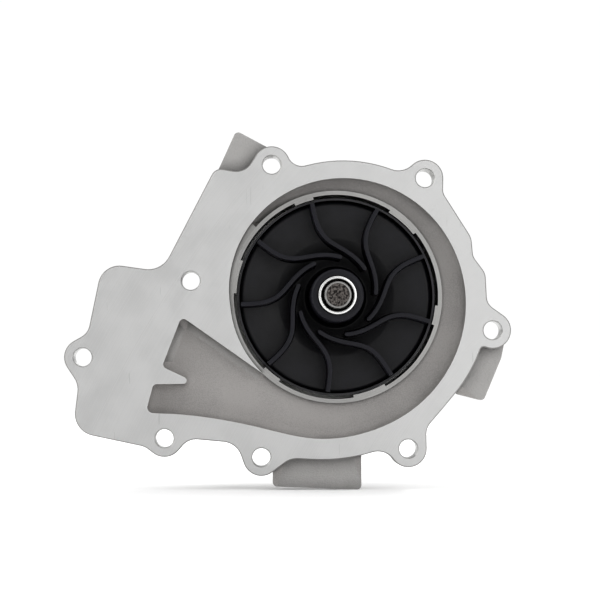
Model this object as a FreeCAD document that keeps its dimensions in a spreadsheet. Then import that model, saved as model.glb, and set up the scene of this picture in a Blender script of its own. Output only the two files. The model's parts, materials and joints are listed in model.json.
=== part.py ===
"""Belt-driven coolant pump with a sliding ring shutter, built as a parametric FreeCAD document.

The shaft lies along Y. The gasket face of the flange is the plane y = 0, the impeller side
looks towards -Y and the pulley side towards +Y. Z is up. Sizes are in millimetres.
"""

import FreeCAD, Part
import math
import os

import Sketcher

Vector = FreeCAD.Vector

# ---------------------------------------------------------------- driving dimensions
SIZES = {
    # cover casting
    "flange_depth": 10.0,
    "shelf_y": 5.0,
    "floor_y": 9.0,
    "back_wall": 4.0,
    "cove_radius": 3.5,
    "edge_break": 0.4,
    "edge_round": 1.0,
    "lug_front": 5.5,
    "lug_back": 14.0,
    "bolt_radius": 3.5,
    "boss_radius": 7.1,
    "boss_back": 14.0,
    "drum_radius": 46.0,
    "drum_back": 64.0,
    "pocket_radius": 39.5,
    "pocket_floor": 29.0,
    "chamber_front": 40.0,
    "chamber_radius": 42.0,
    "snout_radius": 20.0,
    "snout_back": 72.0,
    "seal_boss_radius": 19.0,
    "seal_boss_front": 22.0,
    "rib_width": 4.0,
    "rib_back": 32.0,
    # castellated guide ring
    "guide_radius": 41.0,
    "guide_back": 20.0,
    "tab_radius": 38.5,
    "tab_back": 9.0,
    # ring shutter and its vacuum drive
    "shutter_inner": 37.4,
    "shutter_outer": 38.1,
    "shutter_front": 6.0,
    "shutter_back": 27.0,
    "web_depth": 1.5,
    "web_inner": 24.0,
    "window_inner": 27.0,
    "window_outer": 34.5,
    "rod_circle": 31.0,
    "rod_radius": 2.5,
    "rod_tail": 61.5,
    "bush_radius": 4.0,
    "bush_back": 36.0,
    "spring_pocket": 6.4,
    "spring_mean": 4.9,
    "spring_wire": 0.5,
    "piston_front": 54.0,
    "piston_back": 60.0,
    "piston_gap": 0.3,
    "lip_gap": 0.05,
    "gasket_depth": 0.8,
    "cover_depth": 2.5,
    "ear_circle": 45.5,
    "ear_radius": 5.0,
    "ear_front": 50.0,
    "cover_screw": 2.0,
    "cover_head": 3.6,
    # shaft and bearing
    "nose_radius": 5.1,
    "nose_end": -20.5,
    "seat_front": -12.0,
    "seat_radius": 6.0,
    "step_y": 33.5,
    "shaft_radius": 8.0,
    "shaft_end": 92.0,
    "bearing_front": 36.0,
    "bearing_back": 75.0,
    "bearing_radius": 15.0,
    "race_radius": 12.6,
    "pitch_radius": 10.3,
    "ball_radius": 2.7,
    "ball_y": 45.0,
    "roller_radius": 2.25,
    "roller_half": 5.0,
    "roller_y": 64.0,
    "race_gap": 0.04,
    # impeller
    "impeller_radius": 36.9,
    "disc_front": 10.0,
    "disc_back": 13.0,
    "vane_front": -3.5,
    "vane_depth": 16.2,
    "vane_width": 1.7,
    "hub_front": -13.5,
    "hub_radius": 10.4,
    "insert_radius": 7.3,
    "insert_front": -16.0,
    "insert_back": 15.0,
    # face seal
    "cup_radius": 14.0,
    "cup_back": 31.0,
    "face_y": 20.5,
    "carbon_inner": 8.2,
    "carbon_nose": 10.2,
    "carbon_outer": 11.4,
    "mating_inner": 8.0,
    "mating_outer": 12.4,
    "boot_outer": 13.0,
    "seal_spring_mean": 12.4,
    "seal_spring_wire": 0.45,
    "seal_spring_height": 4.4,
    # side fittings
    "nipple_barrel": 3.0,
    "nipple_stem": 2.1,
    "nipple_barb": 2.6,
    "weep_radius": 2.0,
    "fitting_bore": 1.2,
    # pulley
    "pulley_radius": 37.5,
    "pulley_front": 73.0,
    "pulley_back": 97.0,
    "rib_pitch": 3.56,
    "groove_depth": 2.6,
    "rim_inner": 32.0,
    "hub_face": 82.0,
    "hub_flange": 25.0,
    "hub_barrel": 13.0,
    "pulley_web": 3.0,
    "pulley_bolt_circle": 19.5,
    "pulley_bolt": 3.0,
    "screw_head": 5.77,
    "web_hole_circle": 28.5,
    "web_hole": 2.6,
}

VANES = 9
BALLS = 9
ROLLERS = 11
RODS = 3
COVER_SCREWS = 6
PULLEY_SCREWS = 4
PULLEY_RIBS = 6

# bolt holes of the flange, (x, z)
BOLT_HOLES = [
    (-97.4, -23.4),
    (-66.0, -54.5),
    (-28.8, -61.8),
    (27.6, -58.5),
    (60.1, -13.0),
    (34.1, 45.6),
    (-24.9, 50.7),
    (-56.0, 6.0),
]

# guide ring tabs, (middle angle, whole angle) in degrees
GUIDE_TABS = [(48.5, 19), (108.5, 11), (168.5, 19), (230.5, 11), (289.5, 19), (349.5, 11)]

# the volute: a spiral that leaves the guide ring's circle and grows clockwise
SPIRAL_START = 185
SPIRAL_GROWTH = 0.0475
TONGUE_ANGLE = 226
FLOOR_START = 139

# a vane's middle line: where it starts, its angle far out, how far it turns near the hub and over
# what change of radius, and the bend back towards the rim
VANE_EYE = 15.1
VANE_ANGLE = 106.0
HUB_SWEEP = 61.0
SWEEP_LENGTH = 3.2
RIM_BEND_START = 27.0
RIM_BEND = 0.06
RIM_BEND_POWER = 1.3

# angles in degrees of the shutter web's first window and of the side fittings
WINDOW_START = 112
WINDOW_END = 188
NIPPLE_ANGLE = 200
WEEP_ANGLE = 270

# coils of the springs
RETURN_COILS = 5
SEAL_COILS = 3

# room for a short tangent line between two circles that would otherwise just touch
NESTLE_GAP = 0.002

doc = FreeCAD.newDocument("coolant_pump")
sheet = doc.addObject("Spreadsheet::Sheet", "sizes")
for row, (alias, number) in enumerate(SIZES.items(), start=1):
    sheet.set("A%d" % row, alias.replace("_", " "))
    sheet.set("B%d" % row, str(number))
    sheet.setAlias("B%d" % row, alias)
doc.recompute()


# ---------------------------------------------------------------- sizes and expressions
def size(alias):
    """The number in a named cell."""
    return float(sheet.get(alias))


def value(text):
    """Add up a formula such as 'floor_y + back_wall - 0.5' or '2 * wall'."""
    total = 0.0
    sign = 1.0
    factor = 1.0
    words = str(text).split()
    for place, word in enumerate(words):
        if word in "+-*":
            if word != "*":
                sign = 1.0 if word == "+" else -1.0
            continue
        number = size(word) if word in SIZES else float(word)
        if place + 1 < len(words) and words[place + 1] == "*":
            factor = number
            continue
        total += sign * factor * number
        factor = 1.0
    return total


def bound(text):
    """The same formula as an expression on the spreadsheet's cells."""
    return " ".join("sizes." + word if word in SIZES else word for word in str(text).split())


# ---------------------------------------------------------------- building helpers
def new_body(name):
    """A PartDesign body whose label is the node's name."""
    body = doc.addObject("PartDesign::Body", name)
    body.Label = name
    body.AllowCompound = True
    return body


def new_sketch(body, role, name, depth="0"):
    """A sketch on one of the body's own planes. On the XZ plane, depth moves it along +Y."""
    plane = [f for f in body.Origin.OriginFeatures if f.Role == role][0]
    sketch = body.newObject("Sketcher::SketchObject", name)
    sketch.AttachmentSupport = [(plane, "")]
    sketch.MapMode = "FlatFace"
    if depth != "0":
        sketch.AttachmentOffset = FreeCAD.Placement(Vector(0, 0, -value(depth)), FreeCAD.Rotation())
        sketch.setExpression("AttachmentOffset.Base.z", "-(" + bound(depth) + ")")
    return sketch


def draw_polygon(sketch, corners):
    """A closed polygon whose corners are held by expressions on both coordinates."""
    points = [Vector(value(a), value(b), 0) for a, b in corners]
    count = len(points)
    first = sketch.GeometryCount
    for i in range(count):
        sketch.addGeometry(Part.LineSegment(points[i], points[(i + 1) % count]), False)
    for i in range(count):
        sketch.addConstraint(
            Sketcher.Constraint("Coincident", first + i, 2, first + (i + 1) % count, 1)
        )
    for i, (a, b) in enumerate(corners):
        for kind, text, at in (("DistanceX", a, points[i].x), ("DistanceY", b, points[i].y)):
            made = sketch.addConstraint(Sketcher.Constraint(kind, -1, 1, first + i, 1, at))
            if bound(text) != str(text):
                sketch.setExpression("Constraints[%d]" % made, bound(text))


def draw_circle(sketch, x, z, radius):
    """A circle at (x, z) whose radius, and centre where they are formulas, follow the sheet."""
    circle = Part.Circle(Vector(value(x), value(z), 0), Vector(0, 0, 1), value(radius))
    place = sketch.addGeometry(circle, False)
    made = sketch.addConstraint(Sketcher.Constraint("Radius", place, value(radius)))
    sketch.setExpression("Constraints[%d]" % made, bound(radius))


def draw(sketch, curves):
    """Curves that already meet end to end."""
    for curve in curves:
        sketch.addGeometry(curve, False)


def feature(body, kind, name, profile):
    """A sketch-based feature of the body."""
    made = body.newObject("PartDesign::" + kind, name)
    made.Profile = profile
    profile.Visibility = False
    return made


def pad(body, sketch, length, name="pad"):
    """Material from the sketch's plane towards +Y."""
    made = feature(body, "Pad", name, sketch)
    made.Reversed = True
    made.Length = value(length)
    made.setExpression("Length", bound(length))
    return checked(body, made, 1)


def checked(body, made, sign):
    """Recompute and make sure that the feature added (+1) or took away (-1) material."""
    before = made.BaseFeature.Shape.Volume if made.BaseFeature else 0.0
    doc.recompute()
    if "Invalid" in made.State or made.Shape.isNull():
        raise RuntimeError("%s of %s failed: %s" % (made.Name, body.Label, made.getStatusString()))
    change = made.Shape.Volume - before
    if change * sign < 0.1:
        raise RuntimeError("%s of %s changed %.3f mm3" % (made.Name, body.Label, change))
    return made


def pocket(body, sketch, length, name="pocket"):
    """A cut from the sketch's plane towards +Y, which must take material away."""
    made = feature(body, "Pocket", name, sketch)
    made.Length = value(length)
    made.setExpression("Length", bound(length))
    return checked(body, made, -1)


def turned(name, corners):
    """A body turned about the shaft's axis from a polygon of (radius, y)."""
    body = new_body(name)
    sketch = new_sketch(body, "XY_Plane", "section")
    draw_polygon(sketch, corners)
    made = feature(body, "Revolution", "turning", sketch)
    made.ReferenceAxis = (sketch, ["V_Axis"])
    made.Angle = 360
    doc.recompute()
    return body


def groove(body, corners, name="groove"):
    """A turned cut about the shaft's axis from a polygon of (radius, y)."""
    sketch = new_sketch(body, "XY_Plane", name + "_section")
    draw_polygon(sketch, corners)
    made = feature(body, "Groove", name, sketch)
    made.ReferenceAxis = (sketch, ["V_Axis"])
    made.Angle = 360
    return checked(body, made, -1)


def ring(inner, outer, front, back):
    """The section of a plain ring."""
    return [(inner, front), (outer, front), (outer, back), (inner, back)]


def repeat(body, made, count, name="pattern"):
    """The feature repeated evenly about the shaft's axis."""
    pattern = body.newObject("PartDesign::PolarPattern", name)
    pattern.Originals = [made]
    axis = [f for f in body.Origin.OriginFeatures if f.Role == "Y_Axis"][0]
    pattern.Axis = (axis, [""])
    pattern.Angle = 360
    pattern.Occurrences = count
    body.Tip = pattern
    doc.recompute()
    return pattern


def edges_at(made, y, radius=None):
    """Names of a feature's edges in the plane at y, or of its full circles of a given radius."""
    names = []
    for number, edge in enumerate(made.Shape.Edges, start=1):
        box = edge.BoundBox
        flat = abs(box.YMin - y) < 1e-6 and abs(box.YMax - y) < 1e-6
        fits = radius is None or abs(edge.Length - 2 * math.pi * radius) < 1e-4
        if flat and fits:
            names.append("Edge%d" % number)
    return names


def break_edges(body, base, kind, edges, alias, name):
    """Chamfer or round the named edges by a size from the sheet."""
    made = body.newObject("PartDesign::" + kind, name)
    made.Base = (base, edges)
    prop = "Size" if kind == "Chamfer" else "Radius"
    setattr(made, prop, size(alias))
    made.setExpression(prop, "sizes." + alias)
    return checked(body, made, -1)


# ---------------------------------------------------------------- outlines
def polar(radius, degrees):
    """A sketch point at a radius and angle about the shaft."""
    angle = math.radians(degrees)
    return Vector(radius * math.cos(angle), radius * math.sin(angle), 0)


def nestle(first, second, radius):
    """The hollow circle that all but touches two outward circles, outside the way between them."""
    ax, az, ar = first
    bx, bz, br = second
    dx = bx - ax
    dz = bz - az
    apart = math.hypot(dx, dz)
    near = ar + radius + NESTLE_GAP
    far = br + radius + NESTLE_GAP
    along = (apart**2 + near**2 - far**2) / (2 * apart)
    aside = math.sqrt(near**2 - along**2)
    x = ax + along * dx / apart + aside * dz / apart
    z = az + along * dz / apart - aside * dx / apart
    return (x, z, -radius)


def tangent_loop(circles):
    """Arcs and their common tangents round a closed chain of circles, taken anticlockwise.

    A circle (x, z, r) bulges outwards for r > 0 and is hollow for r < 0.
    """
    joins = []
    for i, (ax, az, ar) in enumerate(circles):
        bx, bz, br = circles[(i + 1) % len(circles)]
        apart = math.hypot(bx - ax, bz - az)
        lean = (br - ar) / apart
        if abs(lean) > 1.0 + 1e-9:
            raise RuntimeError("circles %d and %d overlap" % (i, i + 1))
        heading = math.atan2(bz - az, bx - ax) - math.asin(max(-1.0, min(1.0, lean)))
        normal = Vector(-math.sin(heading), math.cos(heading), 0)
        joins.append((Vector(ax, az, 0) - normal * ar, Vector(bx, bz, 0) - normal * br))
    curves = []
    for i, (x, z, r) in enumerate(circles):
        entry = joins[i - 1][1]
        leave = joins[i][0]
        start, end = (entry, leave) if r > 0 else (leave, entry)
        a0 = math.atan2(start.y - z, start.x - x)
        a1 = math.atan2(end.y - z, end.x - x)
        circle = Part.Circle(Vector(x, z, 0), Vector(0, 0, 1), abs(r))
        curves.append(Part.ArcOfCircle(circle, a0, a1 if a1 > a0 else a1 + 2 * math.pi))
        if (joins[i][1] - joins[i][0]).Length > 1e-6:
            curves.append(Part.LineSegment(joins[i][0], joins[i][1]))
    return curves


def rounded_path(points):
    """Lines through (x, z, r) points with each inner corner rounded to r."""
    curves = []
    at = Vector(points[0][0], points[0][1], 0)
    for i in range(1, len(points) - 1):
        corner = Vector(points[i][0], points[i][1], 0)
        back = (Vector(points[i - 1][0], points[i - 1][1], 0) - corner).normalize()
        on = (Vector(points[i + 1][0], points[i + 1][1], 0) - corner).normalize()
        half = back.getAngle(on) / 2
        reach = points[i][2] / math.tan(half)
        bisector = (back + on).normalize()
        middle = corner + bisector * (points[i][2] / math.sin(half) - points[i][2])
        start = corner + back * reach
        end = corner + on * reach
        curves.append(Part.LineSegment(at, start))
        curves.append(Part.Arc(start, middle, end))
        at = end
    curves.append(Part.LineSegment(at, Vector(points[-1][0], points[-1][1], 0)))
    return curves


def flange_outline():
    """The lobed outline of the flange: bosses round the bolt holes, joined by fair curves."""
    reach = size("boss_radius")
    bosses = [(x, z, reach) for x, z in BOLT_HOLES]
    left, low_left, low, low_right, right, top_right, top_left, _inner = bosses
    crown = (2.6, -1.4, 53.8)
    belly = (-5.5, 2.5, 65.3)
    flank = (0.0, 0.0, 59.0)
    return tangent_loop(
        [
            right,
            (63.2, 0.0, -5.3),
            (51.7, 6.9, 5.8),
            (57.5, 17.2, -5.0),
            (44.4, 20.1, 7.8),
            (45.9, 41.2, -4.8),
            top_right,
            nestle(top_right, crown, 7.5),
            crown,
            nestle(crown, top_left, 5.6),
            top_left,
            (-38.6, 55.1, -6.9),
            (-44.4, 45.0, 4.0),
            (-72.3, 19.4, -9.0),
            (-83.4, 3.6, 8.2),
            (-101.1, -10.0, -6.4),
            left,
            (-107.4, -35.8, -8.1),
            (-91.9, -45.2, 8.4),
            (-76.5, -64.1, -6.9),
            low_left,
            (-53.8, -61.8, -6.9),
            (-44.0, -63.6, -7.8),
            low,
            (-15.1, -70.3, -7.9),
            belly,
            nestle(belly, low_right, 7.2),
            low_right,
            (40.8, -52.8, -6.2),
            flank,
            nestle(flank, right, 1.5),
        ]
    )


def volute_outline(start):
    """The recess of the volute and its forked outlet, open from the given angle of the spiral."""
    rim = size("guide_radius")
    turns = [0, 15, 30, SPIRAL_START - FLOOR_START] + list(range(60, 261, 20))
    wall = [polar(rim + SPIRAL_GROWTH * turn, SPIRAL_START - turn) for turn in turns]
    wall += [Vector(-8.6, -54.6, 0), Vector(-28.9, -50.5, 0), Vector(-51.0, -46.3, 0)]
    wall.append(Vector(-67.3, -45.0, 0))
    outer = Part.BSplineCurve()
    outer.interpolate(wall)
    if start != SPIRAL_START:
        outer.segment(outer.parameter(wall[3]), outer.LastParameter)
    tip = polar(rim, TONGUE_ANGLE)
    fork = rounded_path(
        [
            (-67.3, -45.0, 0),
            (-73.2, -44.6, 2.2),
            (-70.3, -33.7, 1.8),
            (-53.1, -33.5, 1.3),
            (-67.0, -27.0, 1.8),
            (-59.5, -7.7, 1.8),
            (tip.x, tip.y, 0),
        ]
    )
    circle = Part.Circle(Vector(0, 0, 0), Vector(0, 0, 1), rim)
    arc = Part.ArcOfCircle(circle, math.radians(start), math.radians(TONGUE_ANGLE))
    curves = [outer] + fork + [arc]
    if start != SPIRAL_START:
        curves.append(Part.LineSegment(polar(rim, start), outer.StartPoint))
    return curves


# ---------------------------------------------------------------- cover casting
def pump_housing():
    """The cast cover: flange, volute, impeller pocket, vacuum drum and bearing snout."""
    body = new_body("pump_housing")

    sketch = new_sketch(body, "XZ_Plane", "flange_outline")
    draw(sketch, flange_outline())
    flange = pad(body, sketch, "flange_depth", "flange")
    front = edges_at(flange, 0.0)
    break_edges(body, flange, "Chamfer", front, "edge_break", "flange_front_edge")
    flange = body.Tip
    back = edges_at(flange, size("flange_depth"))
    break_edges(body, flange, "Fillet", back, "edge_round", "flange_back_edge")

    sketch = new_sketch(body, "XZ_Plane", "volute_back_outline", "flange_depth - 1")
    back = [(0.5, -4.0, 52.5), (-58.0, -12.5, 5.5), (-69.5, -40.5, 6.8)]
    draw(sketch, tangent_loop(back))
    pad(body, sketch, "floor_y + back_wall - flange_depth + 1", "volute_back")

    sketch = new_sketch(body, "XZ_Plane", "lug_outlines", "lug_front")
    lugs = [
        [(-28, 44), (-25.5, 57.3), (-38.6, 64.3), (-46.2, 47.5), (-40, 40)],
        [(9.8, -54), (-24.4, -54), (-24.4, -73.2), (9.8, -74.4)],
        [(47, -30), (46.0, -37.4), (57.0, -40.2), (63.9, -23.6), (65.2, -17), (58, -16)],
    ]
    for corners in lugs:
        start = ((corners[0][0] + corners[-1][0]) / 2, (corners[0][1] + corners[-1][1]) / 2, 0)
        draw(sketch, rounded_path([start] + [(x, z, 1.8) for x, z in corners] + [start]))
    pad(body, sketch, "lug_back - lug_front", "lugs")

    sketch = new_sketch(body, "XZ_Plane", "boss_circles", "flange_depth - 1")
    for x, z in BOLT_HOLES:
        draw_circle(sketch, x, z, "boss_radius")
    pad(body, sketch, "boss_back - flange_depth + 1", "bolt_bosses")

    sketch = new_sketch(body, "XY_Plane", "drum_section")
    draw_polygon(
        sketch,
        [
            ("0", "flange_depth - 1"),
            ("drum_radius + 3", "flange_depth - 1"),
            ("drum_radius + 3", "boss_back"),
            ("drum_radius", "boss_back + 6"),
            ("drum_radius", "drum_back"),
            ("snout_radius", "drum_back"),
            ("snout_radius", "snout_back - 1"),
            ("snout_radius - 1", "snout_back"),
            ("0", "snout_back"),
        ],
    )
    drum = feature(body, "Revolution", "drum", sketch)
    drum.ReferenceAxis = (sketch, ["V_Axis"])
    drum.Angle = 360
    checked(body, drum, 1)

    for number, (x, z) in enumerate(BOLT_HOLES):
        away = math.hypot(x, z)
        sketch = new_sketch(body, "XY_Plane", "rib_outline_%d" % number)
        angle = math.degrees(math.atan2(z, x))
        turn = FreeCAD.Rotation(Vector(0, 1, 0), -angle)
        sketch.AttachmentOffset = FreeCAD.Placement(Vector(0, 0, 0), turn)
        foot = str(away - size("bolt_radius") - 2)
        rib_profile = [
            ("drum_radius - 2", "flange_depth - 1"),
            (foot, "flange_depth - 1"),
            (foot, "boss_back - 1"),
            ("drum_radius", "rib_back"),
            ("drum_radius - 2", "rib_back"),
        ]
        draw_polygon(sketch, rib_profile)
        rib = feature(body, "Pad", "rib_%d" % number, sketch)
        rib.Midplane = True
        rib.Length = size("rib_width")
        rib.setExpression("Length", "sizes.rib_width")
        checked(body, rib, 1)

    sketch = new_sketch(body, "XZ_Plane", "ear_circle_sketch", "ear_front")
    centre = polar(size("ear_circle"), 0)
    draw_circle(sketch, str(centre.x), str(centre.y), "ear_radius")
    ear = pad(body, sketch, "drum_back - ear_front", "screw_ear")
    doc.recompute()
    repeat(body, ear, COVER_SCREWS, "screw_ears")

    sketch = new_sketch(body, "XZ_Plane", "recess_outline")
    draw(sketch, volute_outline(SPIRAL_START))
    pocket(body, sketch, "shelf_y", "volute_recess")

    cut_away(body, volute_core())

    groove(
        body,
        [
            ("0", "shelf_y - 6"),
            ("guide_radius", "shelf_y - 6"),
            ("guide_radius", "guide_back"),
            ("pocket_radius", "guide_back"),
            ("pocket_radius", "pocket_floor"),
            ("seal_boss_radius", "pocket_floor"),
            ("seal_boss_radius", "seal_boss_front"),
            ("0", "seal_boss_front"),
        ],
        "impeller_pocket",
    )
    groove(
        body,
        [
            ("0", "seal_boss_front - 1"),
            ("cup_radius", "seal_boss_front - 1"),
            ("cup_radius", "cup_back"),
            ("shaft_radius + 2", "cup_back"),
            ("shaft_radius + 2", "bearing_front"),
            ("bearing_radius", "bearing_front"),
            ("bearing_radius", "snout_back + 1"),
            ("0", "snout_back + 1"),
        ],
        "shaft_bores",
    )
    groove(
        body,
        ring("snout_radius", "chamber_radius", "chamber_front", "drum_back + 1"),
        "vacuum_chamber",
    )

    sketch = new_sketch(body, "XZ_Plane", "bolt_circles", "-1")
    for x, z in BOLT_HOLES:
        draw_circle(sketch, x, z, "bolt_radius")
    holes = pocket(body, sketch, "boss_back + rib_back", "bolt_holes")
    mouths = edges_at(holes, 0.0, size("bolt_radius"))
    break_edges(body, holes, "Chamfer", mouths, "edge_break", "bolt_hole_mouths")

    sketch = new_sketch(body, "XZ_Plane", "rod_circle_sketch", "pocket_floor - 1")
    centre = polar(size("rod_circle"), 90)
    draw_circle(sketch, str(centre.x), str(centre.y), "bush_radius")
    rod_hole = pocket(body, sketch, "chamber_front - pocket_floor + 2", "rod_hole")
    repeat(body, rod_hole, RODS, "rod_holes")

    sketch = new_sketch(body, "XZ_Plane", "spring_circle", "bush_back")
    draw_circle(sketch, str(centre.x), str(centre.y), "spring_pocket")
    seat = pocket(body, sketch, "chamber_front - bush_back + 1", "spring_seat")
    repeat(body, seat, RODS, "spring_seats")

    sketch = new_sketch(body, "XZ_Plane", "screw_circle", "ear_front + 3")
    centre = polar(size("ear_circle"), 0)
    draw_circle(sketch, str(centre.x), str(centre.y), "cover_screw")
    thread = pocket(body, sketch, "drum_back - ear_front", "screw_hole")
    repeat(body, thread, COVER_SCREWS, "screw_holes")

    side_hole(
        body, "weep_hole", WEEP_ANGLE, "step_y", "weep_radius", "cup_radius - 2", "drum_radius + 1"
    )
    side_hole(
        body,
        "nipple_hole",
        NIPPLE_ANGLE,
        "chamber_front + 6",
        "nipple_barrel",
        "chamber_radius - 1",
        "drum_radius + 1",
    )
    return body


def volute_core():
    """The space of the deep volute and its outlet, with a cove round its floor."""
    body = new_body("volute_core")
    sketch = new_sketch(body, "XZ_Plane", "floor_outline")
    draw(sketch, volute_outline(FLOOR_START))
    block = pad(body, sketch, "floor_y", "block")
    edges = edges_at(block, size("floor_y"))
    break_edges(body, block, "Fillet", edges, "cove_radius", "cove")
    return body


def cut_away(body, tool):
    """Cut another body's shape out of this one."""
    made = body.newObject("PartDesign::Boolean", tool.Label + "_cut")
    made.setObjects([tool])
    made.Type = "Cut"
    checked(body, made, -1)


def side_hole(body, name, degrees, depth, radius, start, end):
    """A radial hole through the drum, cut by a turned plug on a tilted line."""
    out = polar(1.0, degrees)
    sketch = body.newObject("Sketcher::SketchObject", name + "_circle")
    turn = FreeCAD.Rotation(Vector(0, 0, 1), Vector(out.x, 0, out.y))
    sketch.Placement = FreeCAD.Placement(
        Vector(out.x * value(end), value(depth), out.y * value(end)), turn
    )
    draw_circle(sketch, "0", "0", radius)
    made = feature(body, "Pocket", name, sketch)
    made.Length = value(end) - value(start)
    made.setExpression("Length", bound(end) + " - (" + bound(start) + ")")
    return checked(body, made, -1)


def shutter_guide_ring():
    """The castellated ring that guides the shutter and forms the inner edge of the volute."""
    body = turned(
        "shutter_guide_ring", ring("pocket_radius", "guide_radius", "shelf_y", "guide_back")
    )
    for number, (middle, whole) in enumerate(GUIDE_TABS):
        sketch = new_sketch(body, "XZ_Plane", "tab_outline_%d" % number, "shelf_y")
        low = math.radians(middle - whole / 2)
        high = math.radians(middle + whole / 2)
        inner = Part.Circle(Vector(0, 0, 0), Vector(0, 0, 1), size("tab_radius"))
        outer = Part.Circle(Vector(0, 0, 0), Vector(0, 0, 1), size("pocket_radius") + 0.5)
        arcs = [Part.ArcOfCircle(inner, low, high), Part.ArcOfCircle(outer, low, high)]
        draw(sketch, arcs)
        sketch.addGeometry(Part.LineSegment(arcs[0].StartPoint, arcs[1].StartPoint), False)
        sketch.addGeometry(Part.LineSegment(arcs[0].EndPoint, arcs[1].EndPoint), False)
        pad(body, sketch, "tab_back - shelf_y", "tab_%d" % number)
    doc.recompute()
    return body


# ---------------------------------------------------------------- ring shutter and drive
def shutter_sleeve():
    """The thin ring that slides over the impeller, with a windowed web behind the impeller."""
    body = turned(
        "shutter_sleeve",
        [
            ("shutter_inner", "shutter_front"),
            ("shutter_outer", "shutter_front"),
            ("shutter_outer", "shutter_back"),
            ("web_inner", "shutter_back"),
            ("web_inner", "shutter_back - web_depth"),
            ("shutter_inner", "shutter_back - web_depth"),
        ],
    )
    sketch = new_sketch(body, "XZ_Plane", "window_outline", "shutter_back - web_depth - 1")
    stations = (WINDOW_START, (WINDOW_START + WINDOW_END) / 2, WINDOW_END)
    inside = [polar(size("window_inner"), angle) for angle in stations]
    outside = [polar(size("window_outer"), angle) for angle in stations]
    draw(sketch, [Part.Arc(*inside), Part.Arc(*outside)])
    draw(sketch, [Part.LineSegment(inside[0], outside[0]), Part.LineSegment(inside[2], outside[2])])
    window = pocket(body, sketch, "web_depth + 2", "window")
    repeat(body, window, RODS, "windows")

    sketch = new_sketch(body, "XZ_Plane", "rod_eye", "shutter_back - web_depth - 1")
    centre = polar(size("rod_circle"), 90)
    draw_circle(sketch, str(centre.x), str(centre.y), "rod_radius - 0.6")
    eye = pocket(body, sketch, "web_depth + 2", "rod_eye_hole")
    repeat(body, eye, RODS, "rod_eyes")
    return body


def about_rod(name, corners, count=RODS):
    """A piece turned about one guide rod's axis and repeated at every rod."""
    body = new_body(name)
    sketch = new_sketch(body, "XY_Plane", "section")
    sketch.AttachmentOffset = FreeCAD.Placement(
        Vector(0, 0, size("rod_circle")), FreeCAD.Rotation()
    )
    sketch.setExpression("AttachmentOffset.Base.z", "sizes.rod_circle")
    draw_polygon(sketch, corners)
    made = feature(body, "Revolution", "turning", sketch)
    made.ReferenceAxis = (sketch, ["V_Axis"])
    made.Angle = 360
    doc.recompute()
    repeat(body, made, count)
    return body


def shutter_rods():
    """Three rods, riveted into the shutter's web, that carry the piston's push forwards."""
    return about_rod(
        "shutter_rods",
        [
            ("0", "shutter_back - web_depth - 0.8"),
            ("rod_radius + 0.6", "shutter_back - web_depth - 0.8"),
            ("rod_radius + 0.6", "shutter_back - web_depth"),
            ("rod_radius - 0.6", "shutter_back - web_depth"),
            ("rod_radius - 0.6", "shutter_back"),
            ("rod_radius", "shutter_back"),
            ("rod_radius", "piston_front"),
            ("rod_radius - 0.8", "piston_front"),
            ("rod_radius - 0.8", "piston_back"),
            ("rod_radius + 0.6", "piston_back"),
            ("rod_radius + 0.6", "rod_tail"),
            ("0", "rod_tail"),
        ],
    )


def rod_bushes():
    """Plain bushes that guide the rods through the wall and keep coolant out of the chamber."""
    return about_rod(
        "rod_bushes", ring("rod_radius + lip_gap", "bush_radius", "pocket_floor", "bush_back")
    )


def return_springs():
    """Coil springs round the rods that push the shutter open."""
    body = new_body("return_springs")
    sketch = new_sketch(body, "XY_Plane", "wire_section")
    sketch.AttachmentOffset = FreeCAD.Placement(
        Vector(0, 0, size("rod_circle")), FreeCAD.Rotation()
    )
    sketch.setExpression("AttachmentOffset.Base.z", "sizes.rod_circle")
    draw_circle(sketch, "spring_mean", "bush_back + spring_wire + 0.1", "spring_wire")
    coil = body.newObject("PartDesign::AdditiveHelix", "coil")
    coil.Profile = sketch
    coil.ReferenceAxis = (sketch, ["V_Axis"])
    coil.Mode = "height-turns-angle"
    coil.Height = value("piston_front - bush_back - 2 * spring_wire - 0.2")
    coil.setExpression("Height", bound("piston_front - bush_back - 2 * spring_wire - 0.2"))
    coil.Turns = RETURN_COILS
    doc.recompute()
    repeat(body, coil, RODS)
    return body


def shutter_piston():
    """The annular piston that vacuum draws forwards, with a seal groove inside and outside."""
    body = turned(
        "shutter_piston",
        [
            ("snout_radius + piston_gap", "piston_front"),
            ("chamber_radius - piston_gap", "piston_front"),
            ("chamber_radius - piston_gap", "piston_front + 2"),
            ("chamber_radius - 2", "piston_front + 2"),
            ("chamber_radius - 2", "piston_front + 4"),
            ("chamber_radius - piston_gap", "piston_front + 4"),
            ("chamber_radius - piston_gap", "piston_back"),
            ("chamber_radius - 4", "piston_back"),
            ("chamber_radius - 4", "piston_back - 1.5"),
            ("snout_radius + 5", "piston_back - 1.5"),
            ("snout_radius + 5", "piston_back"),
            ("snout_radius + piston_gap", "piston_back"),
            ("snout_radius + piston_gap", "piston_front + 4"),
            ("snout_radius + 2", "piston_front + 4"),
            ("snout_radius + 2", "piston_front + 2"),
            ("snout_radius + piston_gap", "piston_front + 2"),
        ],
    )
    centre = polar(size("rod_circle"), 90)
    sketch = new_sketch(body, "XZ_Plane", "rod_boss", "piston_back - 2")
    draw_circle(sketch, str(centre.x), str(centre.y), "rod_radius + 2")
    boss = pad(body, sketch, "2", "rod_boss_pad")
    doc.recompute()
    repeat(body, boss, RODS, "rod_bosses")
    sketch = new_sketch(body, "XZ_Plane", "rod_seat", "piston_front - 1")
    draw_circle(sketch, str(centre.x), str(centre.y), "rod_radius - 0.8")
    seat = pocket(body, sketch, "piston_back - piston_front + 2", "rod_seat_hole")
    repeat(body, seat, RODS, "rod_seats")
    return body


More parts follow.
